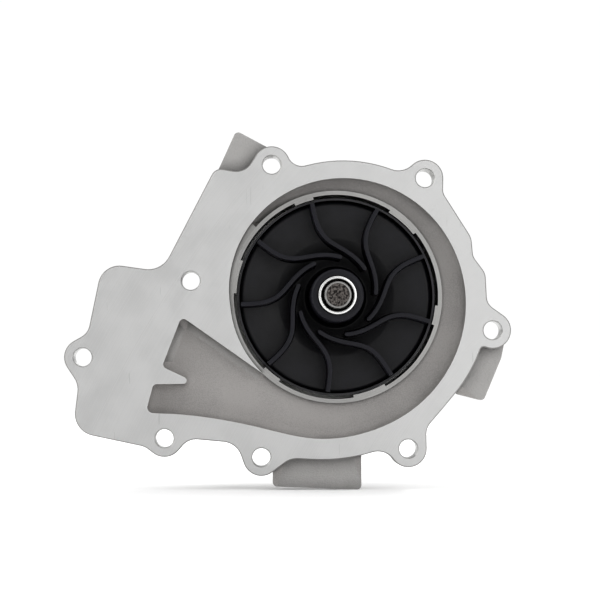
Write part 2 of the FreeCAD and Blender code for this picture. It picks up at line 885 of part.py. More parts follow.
def piston_seal_rings():
    """The two rubber rings that seal the piston on the drum and on the snout."""
    body = turned(
        "piston_seal_rings",
        ring(
            "chamber_radius - 2",
            "chamber_radius - lip_gap",
            "piston_front + 2",
            "piston_front + 4",
        ),
    )
    sketch = new_sketch(body, "XY_Plane", "inner_section")
    draw_polygon(
        sketch,
        ring("snout_radius + lip_gap", "snout_radius + 2", "piston_front + 2", "piston_front + 4"),
    )
    made = feature(body, "Revolution", "inner_turning", sketch)
    made.ReferenceAxis = (sketch, ["V_Axis"])
    made.Angle = 360
    doc.recompute()
    return body


def eared_plate(name, front, depth):
    """An annular plate with an ear at every cover screw."""
    body = turned(name, ring("snout_radius + 0.1", "drum_radius", front, front + " + " + depth))
    centre = polar(size("ear_circle"), 0)
    sketch = new_sketch(body, "XZ_Plane", "ear_circle_sketch", front)
    draw_circle(sketch, str(centre.x), str(centre.y), "ear_radius")
    ear = pad(body, sketch, depth, "ear")
    doc.recompute()
    repeat(body, ear, COVER_SCREWS, "ears")
    sketch = new_sketch(body, "XZ_Plane", "hole_circle", front + " - 1")
    draw_circle(sketch, str(centre.x), str(centre.y), "cover_screw + 0.3")
    hole = pocket(body, sketch, depth + " + 2", "hole")
    repeat(body, hole, COVER_SCREWS, "holes")
    return body


def cover_gasket():
    """The gasket between the drum and its cover, cut away over the chamber."""
    body = eared_plate("cover_gasket", "drum_back", "gasket_depth")
    groove(
        body,
        ring("snout_radius - 1", "chamber_radius", "drum_back - 1", "drum_back + gasket_depth + 1"),
    )
    return body


def cover_screws():
    """Six socket screws that hold the cover on the drum."""
    body = new_body("cover_screws")
    sketch = new_sketch(body, "XY_Plane", "section")
    head_y = "drum_back + gasket_depth + cover_depth"
    middle = "ear_circle"
    corners = [
        (middle, "ear_front + 4"),
        (middle + " + cover_screw", "ear_front + 4"),
        (middle + " + cover_screw", head_y),
        (middle + " + cover_head", head_y),
        (middle + " + cover_head", head_y + " + 4"),
        (middle + " + 1.6", head_y + " + 4"),
        (middle + " + 1.6", head_y + " + 1.8"),
        (middle, head_y + " + 1.8"),
    ]
    draw_polygon(sketch, corners)
    made = feature(body, "Revolution", "turning", sketch)
    made.ReferenceAxis = (sketch, ["Edge8"])
    made.Angle = 360
    doc.recompute()
    repeat(body, made, COVER_SCREWS)
    return body


def radial_piece(name, degrees, depth, corners):
    """A piece turned about a line that runs out from the shaft at the given angle and depth.

    Its polygon is drawn as (radius about that line, distance from the shaft).
    """
    body = new_body(name)
    sketch = new_sketch(body, "XY_Plane", "section")
    draw_polygon(sketch, corners)
    made = feature(body, "Revolution", "turning", sketch)
    made.ReferenceAxis = (sketch, ["V_Axis"])
    made.Angle = 360
    doc.recompute()
    out = polar(1.0, degrees)
    turn = FreeCAD.Rotation(Vector(0, 1, 0), Vector(out.x, 0, out.y))
    body.Placement = FreeCAD.Placement(Vector(0, value(depth), 0), turn)
    body.setExpression("Placement.Base.y", bound(depth))
    return body


def vacuum_nipple():
    """The hose nipple of the vacuum chamber, pressed into the drum."""
    return radial_piece(
        "vacuum_nipple",
        NIPPLE_ANGLE,
        "chamber_front + 6",
        [
            ("fitting_bore", "chamber_radius + 0.2"),
            ("nipple_barrel", "chamber_radius + 0.2"),
            ("nipple_barrel", "drum_radius"),
            ("nipple_barrel + 1.5", "drum_radius"),
            ("nipple_barrel + 1.5", "drum_radius + 1.5"),
            ("nipple_stem", "drum_radius + 1.5"),
            ("nipple_stem", "drum_radius + 10"),
            ("nipple_barb", "drum_radius + 10.5"),
            ("nipple_stem", "drum_radius + 13"),
            ("fitting_bore", "drum_radius + 13"),
        ],
    )


def weep_cap():
    """The slotted cap over the weep hole's mouth."""
    return radial_piece(
        "weep_cap",
        WEEP_ANGLE,
        "step_y",
        [
            ("fitting_bore", "drum_radius - 5"),
            ("weep_radius", "drum_radius - 5"),
            ("weep_radius", "drum_radius"),
            ("2 * weep_radius", "drum_radius"),
            ("3.4", "drum_radius + 1.4"),
            ("fitting_bore", "drum_radius + 1.4"),
        ],
    )


# ---------------------------------------------------------------- shaft and bearing
def pump_shaft():
    """The shaft, which is also the bearing's inner ring, with a dimpled nose."""
    body = turned(
        "pump_shaft",
        [
            ("0", "nose_end + 1.2"),
            ("1.2", "nose_end + 0.5"),
            ("nose_radius - 0.9", "nose_end + 0.4"),
            ("nose_radius - 0.7", "nose_end"),
            ("nose_radius - 0.3", "nose_end"),
            ("nose_radius", "nose_end + 0.3"),
            ("nose_radius", "seat_front"),
            ("seat_radius", "seat_front + 0.6"),
            ("seat_radius", "step_y"),
            ("shaft_radius", "step_y + 1"),
            ("shaft_radius", "shaft_end - 1"),
            ("shaft_radius - 1", "shaft_end"),
            ("0", "shaft_end"),
        ],
    )
    race_groove(body, "pitch_radius")
    return body


def race_groove(body, circle):
    """A round ball race cut into a turned piece."""
    sketch = new_sketch(body, "XY_Plane", "race_section")
    draw_circle(sketch, circle, "ball_y", "ball_radius")
    made = feature(body, "Groove", "race", sketch)
    made.ReferenceAxis = (sketch, ["V_Axis"])
    made.Angle = 360
    return checked(body, made, -1)


def bearing_outer_ring():
    """The bearing's outer ring, pressed into the snout."""
    body = turned(
        "bearing_outer_ring", ring("race_radius", "bearing_radius", "bearing_front", "bearing_back")
    )
    race_groove(body, "pitch_radius")
    return body


def bearing_balls():
    """The ball row."""
    body = new_body("bearing_balls")
    sketch = new_sketch(body, "XY_Plane", "half_circle")
    centre = Vector(size("pitch_radius"), size("ball_y"), 0)
    radius = size("ball_radius") - size("race_gap")
    circle = Part.Circle(centre, Vector(0, 0, 1), radius)
    sketch.addGeometry(Part.ArcOfCircle(circle, -math.pi / 2, math.pi / 2), False)
    top = centre + Vector(0, radius, 0)
    low = centre - Vector(0, radius, 0)
    sketch.addGeometry(Part.LineSegment(top, low), False)
    made = feature(body, "Revolution", "ball", sketch)
    made.ReferenceAxis = (sketch, ["Edge2"])
    made.Angle = 360
    doc.recompute()
    repeat(body, made, BALLS)
    return body


def bearing_rollers():
    """The roller row."""
    body = new_body("bearing_rollers")
    sketch = new_sketch(body, "XZ_Plane", "roller_circle", "roller_y - roller_half")
    draw_circle(sketch, str(size("pitch_radius")), "0", "roller_radius")
    made = pad(body, sketch, "2 * roller_half", "roller")
    doc.recompute()
    repeat(body, made, ROLLERS)
    return body


def ball_cage():
    """The ribbon that spaces the balls."""
    body = turned(
        "ball_cage",
        ring("pitch_radius - 0.7", "pitch_radius + 0.7", "ball_y - 3.4", "ball_y + 1.6"),
    )
    sketch = new_sketch(body, "YZ_Plane", "ball_window")
    circle = Part.Circle(Vector(size("ball_y"), 0, 0), Vector(0, 0, 1), size("ball_radius") + 0.1)
    sketch.addGeometry(circle, False)
    made = feature(body, "Pocket", "ball_window_cut", sketch)
    made.Reversed = True
    made.Length = 2 * size("pitch_radius")
    checked(body, made, -1)
    repeat(body, made, BALLS)
    return body


def roller_cage():
    """The cage that spaces the rollers."""
    body = turned(
        "roller_cage",
        ring(
            "pitch_radius - 0.7",
            "pitch_radius + 0.7",
            "roller_y - roller_half - 1.6",
            "roller_y + roller_half + 1.6",
        ),
    )
    sketch = new_sketch(body, "YZ_Plane", "roller_window")
    half = size("roller_half") + 0.1
    wide = size("roller_radius") + 0.08
    middle = size("roller_y")
    corners = [(-half, -wide), (half, -wide), (half, wide), (-half, wide)]
    draw_polygon(sketch, [(str(middle + a), str(b)) for a, b in corners])
    made = feature(body, "Pocket", "roller_window_cut", sketch)
    made.Reversed = True
    made.Length = 2 * size("pitch_radius")
    checked(body, made, -1)
    repeat(body, made, ROLLERS)
    return body


def bearing_lip_seals():
    """The two lip seals at the bearing's ends."""
    body = turned(
        "bearing_lip_seals",
        ring("shaft_radius + lip_gap", "race_radius", "bearing_front + 0.5", "bearing_front + 2"),
    )
    sketch = new_sketch(body, "XY_Plane", "rear_section")
    draw_polygon(
        sketch,
        ring("shaft_radius + lip_gap", "race_radius", "bearing_back - 2", "bearing_back - 0.5"),
    )
    made = feature(body, "Revolution", "rear_turning", sketch)
    made.ReferenceAxis = (sketch, ["V_Axis"])
    made.Angle = 360
    doc.recompute()
    return body


# ---------------------------------------------------------------- face seal
def face_seal():
    """The stationary cup, bellows, spring and carbon ring, and the turning ring and boot."""
    cup = turned(
        "seal_cup",
        [
            ("cup_radius - 0.8", "seal_boss_front - 1"),
            ("cup_radius + 2.5", "seal_boss_front - 1"),
            ("cup_radius + 2.5", "seal_boss_front"),
            ("cup_radius", "seal_boss_front"),
            ("cup_radius", "cup_back"),
            ("seat_radius + 1.5", "cup_back"),
            ("seat_radius + 1.5", "cup_back - 0.8"),
            ("cup_radius - 0.8", "cup_back - 0.8"),
        ],
    )
    bellows = turned(
        "seal_bellows",
        [
            ("carbon_inner", "face_y + 2.6"),
            ("11.6", "face_y + 2.6"),
            ("11.6", "face_y + 4.2"),
            ("10", "face_y + 5.4"),
            ("11", "face_y + 6.6"),
            ("11", "cup_back - 0.8"),
            ("7.8", "cup_back - 0.8"),
            ("7.8", "cup_back - 2.4"),
            ("9.6", "face_y + 6.6"),
            ("8.6", "face_y + 5.4"),
            ("10", "face_y + 4.2"),
            ("carbon_inner", "face_y + 4.2"),
        ],
    )
    carbon = turned(
        "seal_carbon_ring",
        [
            ("carbon_inner", "face_y + 0.05"),
            ("carbon_nose", "face_y + 0.05"),
            ("carbon_nose", "face_y + 1"),
            ("carbon_outer", "face_y + 1"),
            ("carbon_outer", "face_y + 2.6"),
            ("carbon_inner", "face_y + 2.6"),
        ],
    )
    mating = turned(
        "seal_mating_ring", ring("mating_inner", "mating_outer", "face_y - 3.5", "face_y")
    )
    boot = turned(
        "seal_rotor_boot",
        [
            ("seat_radius", "insert_back + 0.4"),
            ("boot_outer", "insert_back + 0.4"),
            ("boot_outer", "face_y - 1"),
            ("mating_outer", "face_y - 1"),
            ("mating_outer", "face_y - 3.5"),
            ("mating_inner", "face_y - 3.5"),
            ("mating_inner", "face_y - 0.6"),
            ("seat_radius + 1", "face_y - 0.6"),
            ("seat_radius + 1", "face_y + 4"),
            ("seat_radius", "face_y + 4"),
        ],
    )
    spring = new_body("seal_spring")
    sketch = new_sketch(spring, "XY_Plane", "wire_section")
    draw_circle(sketch, "seal_spring_mean", "face_y + 4.6", "seal_spring_wire")
    coil = spring.newObject("PartDesign::AdditiveHelix", "coil")
    coil.Profile = sketch
    coil.ReferenceAxis = (sketch, ["V_Axis"])
    coil.Mode = "height-turns-angle"
    coil.Height = size("seal_spring_height")
    coil.setExpression("Height", "sizes.seal_spring_height")
    coil.Turns = SEAL_COILS
    doc.recompute()
    return [cup, bellows, carbon, mating, boot, spring]


# ---------------------------------------------------------------- impeller
def vane_side(offset):
    """One side of a vane: the angle nears its end value as an exponential of the radius."""
    rim = size("impeller_radius") - 0.15
    points = []
    for step in range(13):
        radius = VANE_EYE + (rim - VANE_EYE) * (step / 12) ** 1.6
        sweep = HUB_SWEEP * math.exp(-(radius - VANE_EYE) / SWEEP_LENGTH)
        past_bend = max(0.0, radius - RIM_BEND_START)
        angle = VANE_ANGLE - sweep - RIM_BEND * past_bend**RIM_BEND_POWER
        lean = math.radians(sweep / SWEEP_LENGTH) * radius
        across = Vector(1, -lean, 0).normalize()
        here = polar(radius, angle)
        outward = polar(1.0, angle)
        around = polar(1.0, angle + 90)
        points.append(here + (around * across.x + outward * across.y) * offset)
    return points


def impeller():
    """The moulded semi-open impeller: a dished disc, a tall hub and nine S-shaped vanes."""
    body = turned(
        "impeller",
        [
            ("insert_radius", "hub_front"),
            ("hub_radius - 1.2", "hub_front"),
            ("hub_radius - 0.4", "hub_front + 0.8"),
            ("hub_radius", "disc_front + 1.6"),
            ("hub_radius + 1.6", "disc_front + 3"),
            ("hub_radius + 4.5", "disc_front + 2.1"),
            ("hub_radius + 12.3", "disc_front + 0.7"),
            ("impeller_radius - 1", "disc_front"),
            ("impeller_radius", "disc_front + 0.4"),
            ("impeller_radius", "disc_back"),
            ("hub_radius + 10", "disc_back"),
            ("hub_radius + 5", "insert_back"),
            ("insert_radius", "insert_back"),
        ],
    )
    sketch = new_sketch(body, "XZ_Plane", "vane_outline", "vane_front")
    half = size("vane_width") / 2
    left = vane_side(half)
    right = vane_side(-half)
    for side in (left, right):
        curve = Part.BSplineCurve()
        curve.interpolate(side)
        sketch.addGeometry(curve, False)
    tip = (left[0] + right[0]) * 0.5 + (left[0] + right[0] - left[1] - right[1]).normalize() * half
    sketch.addGeometry(Part.Arc(left[0], tip, right[0]), False)
    sketch.addGeometry(Part.LineSegment(left[-1], right[-1]), False)
    vane = pad(body, sketch, "vane_depth", "vane")
    repeat(body, vane, VANES, "vanes")
    return body


def impeller_insert():
    """The steel bush moulded into the impeller's hub, pressed on the shaft's seat."""
    return turned(
        "impeller_insert",
        [
            ("seat_radius", "insert_front + 0.5"),
            ("seat_radius + 0.3", "insert_front"),
            ("insert_radius - 0.3", "insert_front"),
            ("insert_radius", "insert_front + 0.3"),
            ("insert_radius", "insert_back"),
            ("seat_radius", "insert_back"),
        ],
    )


# ---------------------------------------------------------------- pulley
def pulley_hub():
    """The hub pressed on the shaft's tail."""
    body = turned(
        "pulley_hub",
        [
            ("shaft_radius", "hub_face - 4"),
            ("hub_flange", "hub_face - 4"),
            ("hub_flange", "hub_face"),
            ("hub_barrel", "hub_face"),
            ("hub_barrel", "shaft_end - 2"),
            ("shaft_radius", "shaft_end - 2"),
        ],
    )
    bolt_circle(body, "hub_face - 5", "6", "pulley_bolt")
    return body


def bolt_circle(body, front, depth, radius):
    """The pulley's screw holes."""
    centre = polar(size("pulley_bolt_circle"), 45)
    sketch = new_sketch(body, "XZ_Plane", "bolt_circle_sketch", front)
    draw_circle(sketch, str(centre.x), str(centre.y), radius)
    hole = pocket(body, sketch, depth, "bolt_hole")
    repeat(body, hole, PULLEY_SCREWS, "bolt_holes")


def belt_pulley():
    """The ribbed belt pulley: rim with V grooves, dished web and centring hole."""
    top = size("pulley_radius")
    root = top - size("groove_depth")
    pitch = size("rib_pitch")
    middle = (size("pulley_front") + size("pulley_back")) / 2
    first = middle - pitch * PULLEY_RIBS / 2
    section = [("rim_inner", "pulley_front"), ("pulley_radius", "pulley_front")]
    for groove_number in range(PULLEY_RIBS):
        start = first + pitch * groove_number
        section.append((str(top), str(start + 0.3)))
        section.append((str(root), str(start + pitch / 2 - 0.25)))
        section.append((str(root), str(start + pitch / 2 + 0.25)))
        section.append((str(top), str(start + pitch - 0.3)))
    section += [
        ("pulley_radius", "pulley_back"),
        ("rim_inner", "pulley_back"),
        ("rim_inner", "hub_face + pulley_web"),
        ("hub_barrel + 0.1", "hub_face + pulley_web"),
        ("hub_barrel + 0.1", "hub_face"),
        ("rim_inner", "hub_face"),
    ]
    body = turned("belt_pulley", section)
    bolt_circle(body, "hub_face - 1", "pulley_web + 2", "pulley_bolt + 0.3")
    sketch = new_sketch(body, "XZ_Plane", "web_hole", "hub_face - 1")
    centre = polar(size("web_hole_circle"), 0)
    draw_circle(sketch, str(centre.x), str(centre.y), "web_hole")
    hole = pocket(body, sketch, "pulley_web + 2", "lightening_hole")
    repeat(body, hole, PULLEY_SCREWS * 2, "lightening_holes")
    return body


def pulley_screws():
    """The hexagon screws that hold the pulley on its hub."""
    body = new_body("pulley_screws")
    centre = polar(size("pulley_bolt_circle"), 45)
    sketch = new_sketch(body, "XZ_Plane", "shank_circle", "hub_face - 4")
    draw_circle(sketch, str(centre.x), str(centre.y), "pulley_bolt")
    shank = pad(body, sketch, "pulley_web + 4", "shank")
    sketch = new_sketch(body, "XZ_Plane", "head_hexagon", "hub_face + pulley_web")
    corners = [centre + polar(size("screw_head"), 60 * i) for i in range(6)]
    draw_polygon(sketch, [(str(c.x), str(c.y)) for c in corners])
    head = pad(body, sketch, "4", "head")
    doc.recompute()
    pattern = repeat(body, shank, PULLEY_SCREWS)
    pattern.Originals = [shank, head]
    doc.recompute()
    return body


# ---------------------------------------------------------------- build, check and write
BUILDERS = [
    pump_housing,
    shutter_guide_ring,
    shutter_sleeve,
    shutter_rods,
    rod_bushes,
    return_springs,
    shutter_piston,
    piston_seal_rings,
    cover_gasket,
    lambda: eared_plate("chamber_cover", "drum_back + gasket_depth", "cover_depth"),
    cover_screws,
    vacuum_nipple,
    weep_cap,
    pump_shaft,
    bearing_outer_ring,
    bearing_balls,
    bearing_rollers,
    ball_cage,
    roller_cage,
    bearing_lip_seals,
    face_seal,
    impeller,
    impeller_insert,
    pulley_hub,
    belt_pulley,
    pulley_screws,
]

pieces = []
for builder in BUILDERS:
    made = builder()
    pieces += made if isinstance(made, list) else [made]
doc.recompute()

for thing in doc.Objects:
    if "Invalid" in thing.State or "Error" in thing.State:
        raise RuntimeError("%s failed: %s" % (thing.Name, thing.State))
for piece in pieces:
    if piece.Shape.isNull() or not piece.Shape.isValid():
        raise RuntimeError("%s has no valid shape" % piece.Label)

os.makedirs("parts", exist_ok=True)
for piece in pieces:
    piece.Shape.exportStep("parts/%s.step" % piece.Label)
    print("%-22s %2d solids %10.1f mm3" % (piece.Label, len(piece.Shape.Solids), piece.Shape.Volume))
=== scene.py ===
"""Looks of an engine coolant pump: cover casting, ring shutter, impeller, seal, bearing and pulley.

Lengths are in metres. The shaft turns about Y, the impeller looks to -Y, the pulley to +Y, and Z is up.
"""

import json
import logging
import math
from dataclasses import dataclass
from enum import Enum, IntEnum

import bmesh
import bpy
import numpy as np
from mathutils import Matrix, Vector

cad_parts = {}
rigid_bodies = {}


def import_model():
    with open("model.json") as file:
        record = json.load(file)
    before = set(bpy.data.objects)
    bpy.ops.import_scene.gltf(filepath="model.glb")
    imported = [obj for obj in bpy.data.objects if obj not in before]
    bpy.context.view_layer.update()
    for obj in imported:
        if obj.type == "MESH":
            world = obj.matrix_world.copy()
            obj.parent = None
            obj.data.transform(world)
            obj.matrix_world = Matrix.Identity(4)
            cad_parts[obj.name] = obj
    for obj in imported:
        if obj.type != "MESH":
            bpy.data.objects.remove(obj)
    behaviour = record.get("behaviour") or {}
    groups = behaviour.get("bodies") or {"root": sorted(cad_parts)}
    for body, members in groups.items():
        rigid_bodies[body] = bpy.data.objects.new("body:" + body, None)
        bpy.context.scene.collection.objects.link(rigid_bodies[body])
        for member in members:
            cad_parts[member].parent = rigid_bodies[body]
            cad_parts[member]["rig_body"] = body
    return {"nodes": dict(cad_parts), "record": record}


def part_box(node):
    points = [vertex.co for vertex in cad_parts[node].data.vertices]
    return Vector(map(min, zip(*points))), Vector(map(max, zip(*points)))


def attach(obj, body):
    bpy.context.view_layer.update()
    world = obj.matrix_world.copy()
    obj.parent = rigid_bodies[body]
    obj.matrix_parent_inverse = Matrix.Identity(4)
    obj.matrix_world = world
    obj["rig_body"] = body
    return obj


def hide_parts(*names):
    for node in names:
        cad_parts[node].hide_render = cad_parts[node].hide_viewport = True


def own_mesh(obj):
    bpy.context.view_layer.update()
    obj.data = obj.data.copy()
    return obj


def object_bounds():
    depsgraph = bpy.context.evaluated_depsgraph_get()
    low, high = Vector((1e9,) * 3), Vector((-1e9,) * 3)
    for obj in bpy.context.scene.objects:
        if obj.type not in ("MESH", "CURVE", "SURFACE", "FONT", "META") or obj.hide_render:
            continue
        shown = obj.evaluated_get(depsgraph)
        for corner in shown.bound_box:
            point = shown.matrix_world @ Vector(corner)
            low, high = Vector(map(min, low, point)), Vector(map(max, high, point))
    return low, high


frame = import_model()
CAD_BOX = [list(corner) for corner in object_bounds()]

LOG = logging.getLogger("coolant_pump")
Array = np.ndarray
Colour = tuple[float, float, float]
Point = tuple[float, float, float]
Corners = tuple[tuple[float, float], ...]
Tree = bpy.types.NodeTree
Socket = bpy.types.NodeSocket
Inputs = bpy.types.bpy_prop_collection
Outputs = tuple[Socket, Socket]
MM = 0.001
FULL_TURN = 2 * math.pi
MERGE_DISTANCE = 1e-7

# tones of the shared effects that count as fully dark and fully light
TONE_LOW = 0.42
TONE_HIGH = 0.58


# ---------------------------------------------------------------- surfaces


def eased(corners: Corners, radius: float, steps: int = 5, closed: bool = True) -> Array:
    """A profile whose corners are rounded off.

    Formula: a corner gives way to (1 - t)^2 a + 2 t (1 - t) corner + t^2 b, where a and b lie on its two
    sides, one radius away, or less than halfway along a short side. The ends of an open profile stay where
    they are.

    Args:
        corners: (distance from the axis, depth) pairs in millimetres.
        radius: how far the rounding reaches along each side, in millimetres.
        steps: points per corner.
        closed: whether the last corner joins the first.

    Returns:
        N by 2 array in metres.
    """
    points = np.array(corners, float) * MM
    back = np.roll(points, 1, axis=0) - points
    ahead = np.roll(points, -1, axis=0) - points
    if not closed:
        back[0] = 0
        ahead[-1] = 0
    sides = np.stack([back, ahead])
    length = np.linalg.norm(sides, axis=-1, keepdims=True)
    just_under_half = 0.49
    reach = np.minimum(radius * MM, just_under_half * length) / np.maximum(length, MERGE_DISTANCE)
    start, end = points + sides * reach
    t = np.linspace(0, 1, steps)[None, :, None]
    curve = (1 - t) ** 2 * start[:, None] + 2 * t * (1 - t) * points[:, None] + t**2 * end[:, None]
    return curve.reshape(-1, 2)


def turned(profile: Array, steps: int = 144) -> Array:
    """A surface of revolution about the shaft's axis.

    Formula: a profile point (radius, depth) goes to (radius cos t, depth, radius sin t), with t round the
    circle.

    Args:
        profile: N by 2 array of (radius, depth).
        steps: points round the circle.

    Returns:
        N by steps by 3 grid of points.
    """
    t = np.linspace(0, FULL_TURN, steps, endpoint=False)
    radius, depth = profile[:, :1], profile[:, 1:]
    return np.stack([radius * np.cos(t), depth + 0 * t, radius * np.sin(t)], axis=-1)


def about_point(grid: Array, x: float, z: float) -> Array:
    """The grid moved so that the shaft's axis goes to (x, z)."""
    return grid + np.array([x, 0.0, z])


def about_shaft(grid: Array, degrees: float) -> Array:
    """The grid turned about the shaft's axis, from +X towards +Z."""
    c, s = math.cos(math.radians(degrees)), math.sin(math.radians(degrees))
    return grid @ np.array([[c, 0, s], [0, 1, 0], [-s, 0, c]])


def radially(grid: Array, degrees: float, depth: float) -> Array:
    """A grid turned about Y laid down so that its own axis is a radius of the shaft.

    Formula: depth along the old axis becomes the distance from the shaft, x becomes depth, and z stays
    square to both.

    Args:
        grid: points of a surface of revolution.
        degrees: where the radius points, from +X towards +Z.
        depth: depth of the radius along the shaft, in metres.

    Returns:
        The moved grid.
    """
    laid = np.stack([grid[..., 1], grid[..., 0] + depth, grid[..., 2]], axis=-1)
    return about_shaft(laid, degrees)


def helix(mean_radius: float, wire: float, start: float, end: float, turns: int) -> Array:
    """The middle line of a coil spring about the shaft's axis, with its end turns closed.

    Formula: (mean cos a, depth(a), mean sin a); the depth rises by one wire over the first and the last
    turn, and evenly between them.

    Args:
        mean_radius: radius of the wire's middle line.
        wire: radius of the wire.
        start: depth of the first end.
        end: depth of the last end.
        turns: number of turns.

    Returns:
        N by 3 array.
    """
    rows = 28
    turn = np.linspace(0, turns, turns * rows + 1)
    low, high = start + wire, end - wire
    depth = np.interp(turn, [0, 1, turns - 1, turns], [low, low + 2 * wire, high - 2 * wire, high])
    a = FULL_TURN * turn
    return np.stack([mean_radius * np.cos(a), depth, mean_radius * np.sin(a)], axis=-1)


def wire_along(path: Array, radius: float, sides: int = 10) -> Array:
    """A round wire along a path, closed to a point at both ends.

    Formula: path + radius (side cos t + up sin t), where side is square to the path and to Y, and up is
    square to both.

    Args:
        path: N by 3 array.
        radius: the wire's radius.
        sides: points round the wire.

    Returns:
        N + 2 by sides by 3 grid.
    """
    along = np.gradient(path, axis=0)
    side = np.cross(along, [0.0, 1.0, 0.0])
    side /= np.linalg.norm(side, axis=1, keepdims=True)
    up = np.cross(side, along)
    up /= np.linalg.norm(up, axis=1, keepdims=True)
    t = np.linspace(0, FULL_TURN, sides, endpoint=False)[None, :, None]
    ring = path[:, None] + radius * (side[:, None] * np.cos(t) + up[:, None] * np.sin(t))
    ends = [np.broadcast_to(path[i], (1, sides, 3)) for i in (0, -1)]
    return np.concatenate([ends[0], ring, ends[1]])


def hexagon_radius(t: Array, apothem: float) -> Array:
    """How far a hexagon's outline is from its middle at angle t.

    Formula: apothem / cos(t - the middle of the flat that t falls on).

    Args:
        t: angles in radians.
        apothem: distance from the middle to a flat.

    Returns:
        The distance at each angle.
    """
    flat = (t + math.pi / 6) % (math.pi / 3) - math.pi / 6
    return apothem / np.cos(flat)


def nearest(spots: Array, places: Array) -> Array:
    """The distance from each spot to the nearest of the places, both given as rows of X and Z."""
    return np.linalg.norm(spots[:, None] - places[None], axis=-1).min(axis=1)


def make_smooth(mesh: bpy.types.Mesh, sharp_degrees: float) -> None:
    """Shades the mesh smooth, except over edges that turn by more than sharp_degrees."""
    mesh.shade_smooth()
    mesh.set_sharp_from_angle(angle=math.radians(sharp_degrees))


class Shell:
    """A closed mesh in the making, gathered from grids of points."""

    def __init__(self) -> None:
        """Starts with nothing."""
        self.points: list[Array] = []
        self.faces: list[Array] = []
        self.count = 0

    def add(self, grid: Array, wrap_rows: bool = False) -> "Shell":
        """Adds a sheet of quads whose columns close round on themselves.

        Args:
            grid: rows by columns by 3 points.
            wrap_rows: whether the last row joins the first.

        Returns:
            The shell itself.
        """
        rows, columns = grid.shape[:2]
        index = np.arange(rows * columns).reshape(rows, columns) + self.count
        index = np.hstack([index, index[:, :1]])
        if wrap_rows:
            index = np.vstack([index, index[:1]])
        quads = np.stack([index[:-1, :-1], index[1:, :-1], index[1:, 1:], index[:-1, 1:]], axis=-1)
        self.points.append(grid.reshape(-1, 3))
        self.faces.append(quads.reshape(-1, 4))
        self.count += rows * columns
        return self

    def ring(self, grid: Array, count: int, first: float = 0.0) -> "Shell":
        """Adds copies of a sheet, evenly spaced round the shaft.

        Args:
            grid: the sheet, as add takes it.
            count: number of copies.
            first: how far the first copy is turned, in degrees.

        Returns:
            The shell itself.
        """
        for number in range(count):
            self.add(about_shaft(grid, first + 360 / count * number))
        return self

    def piece(self, name: str, sharp_degrees: float = 40.0) -> bpy.types.Object:
        """Makes the scene object, with doubles merged and faces outward.

        Args:
            name: the object's name.
            sharp_degrees: edges that turn by more than this stay sharp.

        Returns:
            The new object, linked to the scene.
        """
        mesh = bpy.data.meshes.new(name)
        mesh.from_pydata(np.concatenate(self.points).tolist(), [], np.concatenate(self.faces).tolist())
        work = bmesh.new()
        work.from_mesh(mesh)
        bmesh.ops.remove_doubles(work, verts=work.verts, dist=MERGE_DISTANCE)
        bmesh.ops.recalc_face_normals(work, faces=work.faces)
        work.to_mesh(mesh)
        work.free()
        make_smooth(mesh, sharp_degrees)
        made = bpy.data.objects.new(name, mesh)
        bpy.context.scene.collection.objects.link(made)
        return made


def copy_of(node: str, name: str) -> bpy.types.Object:
    """A copy of a node of the frame, with its surface normals, that can take several finishes.

    Args:
        node: the node's name.
        name: the copy's name.

    Returns:
        The copy, linked to the scene.
    """
    mesh = frame["nodes"][node].data.copy()
    mesh.name = name
    mesh.materials.clear()
    made = bpy.data.objects.new(name, mesh)
    bpy.context.scene.collection.objects.link(made)
    return made


def corner_table(mesh: bpy.types.Mesh) -> Array:
    """The corners of a mesh in millimetres, an N by 3 array."""
    points = np.empty(len(mesh.vertices) * 3, np.float32)
    mesh.vertices.foreach_get("co", points)
    return points.reshape(-1, 3) / MM


def face_table(mesh: bpy.types.Mesh) -> tuple[Array, Array]:
    """The places and directions of a mesh's faces.

    Args:
        mesh: the mesh.

    Returns:
        Their centres in millimetres and their normals, each an N by 3 array.
    """
    centres = np.empty(len(mesh.polygons) * 3, np.float32)
    normals = np.empty_like(centres)
    mesh.polygons.foreach_get("center", centres)
    mesh.polygons.foreach_get("normal", normals)
    return centres.reshape(-1, 3) / MM, normals.reshape(-1, 3)


# ---------------------------------------------------------------- finishes


def place(tree: Tree, kind: str, inputs: dict | None = None, **settings: object) -> bpy.types.Node:
    """Adds a node to a tree.

    Args:
        tree: the node tree.
        kind: the node's type, without the ShaderNode in front.
        inputs: socket name or number to a value, or to the output socket that feeds it.
        settings: the node's own properties.

    Returns:
        The new node.
    """
    node = tree.nodes.new("ShaderNode" + kind)
    for name, value in settings.items():
        setattr(node, name, value)
    for key, value in (inputs or {}).items():
        feed(tree, node.inputs[key], value)
    return node


def feed(tree: Tree, entry: Socket, value: object) -> None:
    """Feeds an input socket from an output socket, or sets it to a value."""
    if isinstance(value, Socket):
        tree.links.new(value, entry)
    else:
        entry.default_value = value


def maths(tree: Tree, operation: str, *values: float | Socket) -> Socket:
    """The output of a Math node, held between 0 and 1 if the operation ends in an exclamation mark."""
    settings = {"operation": operation.rstrip("!"), "use_clamp": operation.endswith("!")}
    return place(tree, "Math", dict(enumerate(values)), **settings).outputs[0]


def spread(tree: Tree, value: Socket, low: float = 0.0, high: float = 1.0) -> Socket:
    """An effect's tone, stretched so that its usual swing runs from low to high."""
    limits = {"From Min": TONE_LOW, "From Max": TONE_HIGH, "To Min": low, "To Max": high}
    return place(tree, "MapRange", {"Value": value, **limits}).outputs[0]


def place_group(tree: Tree, group: Tree, inputs: dict) -> bpy.types.Node:
    """Places a node group in a tree.

    Args:
        tree: the tree that it goes into.
        group: the group's own tree.
        inputs: socket name to a value, or to the output socket that feeds it.

    Returns:
        The new node.
    """
    node = tree.nodes.new("ShaderNodeGroup")
    node.node_tree = group
    for name, value in inputs.items():
        feed(tree, node.inputs[name], value)
    return node


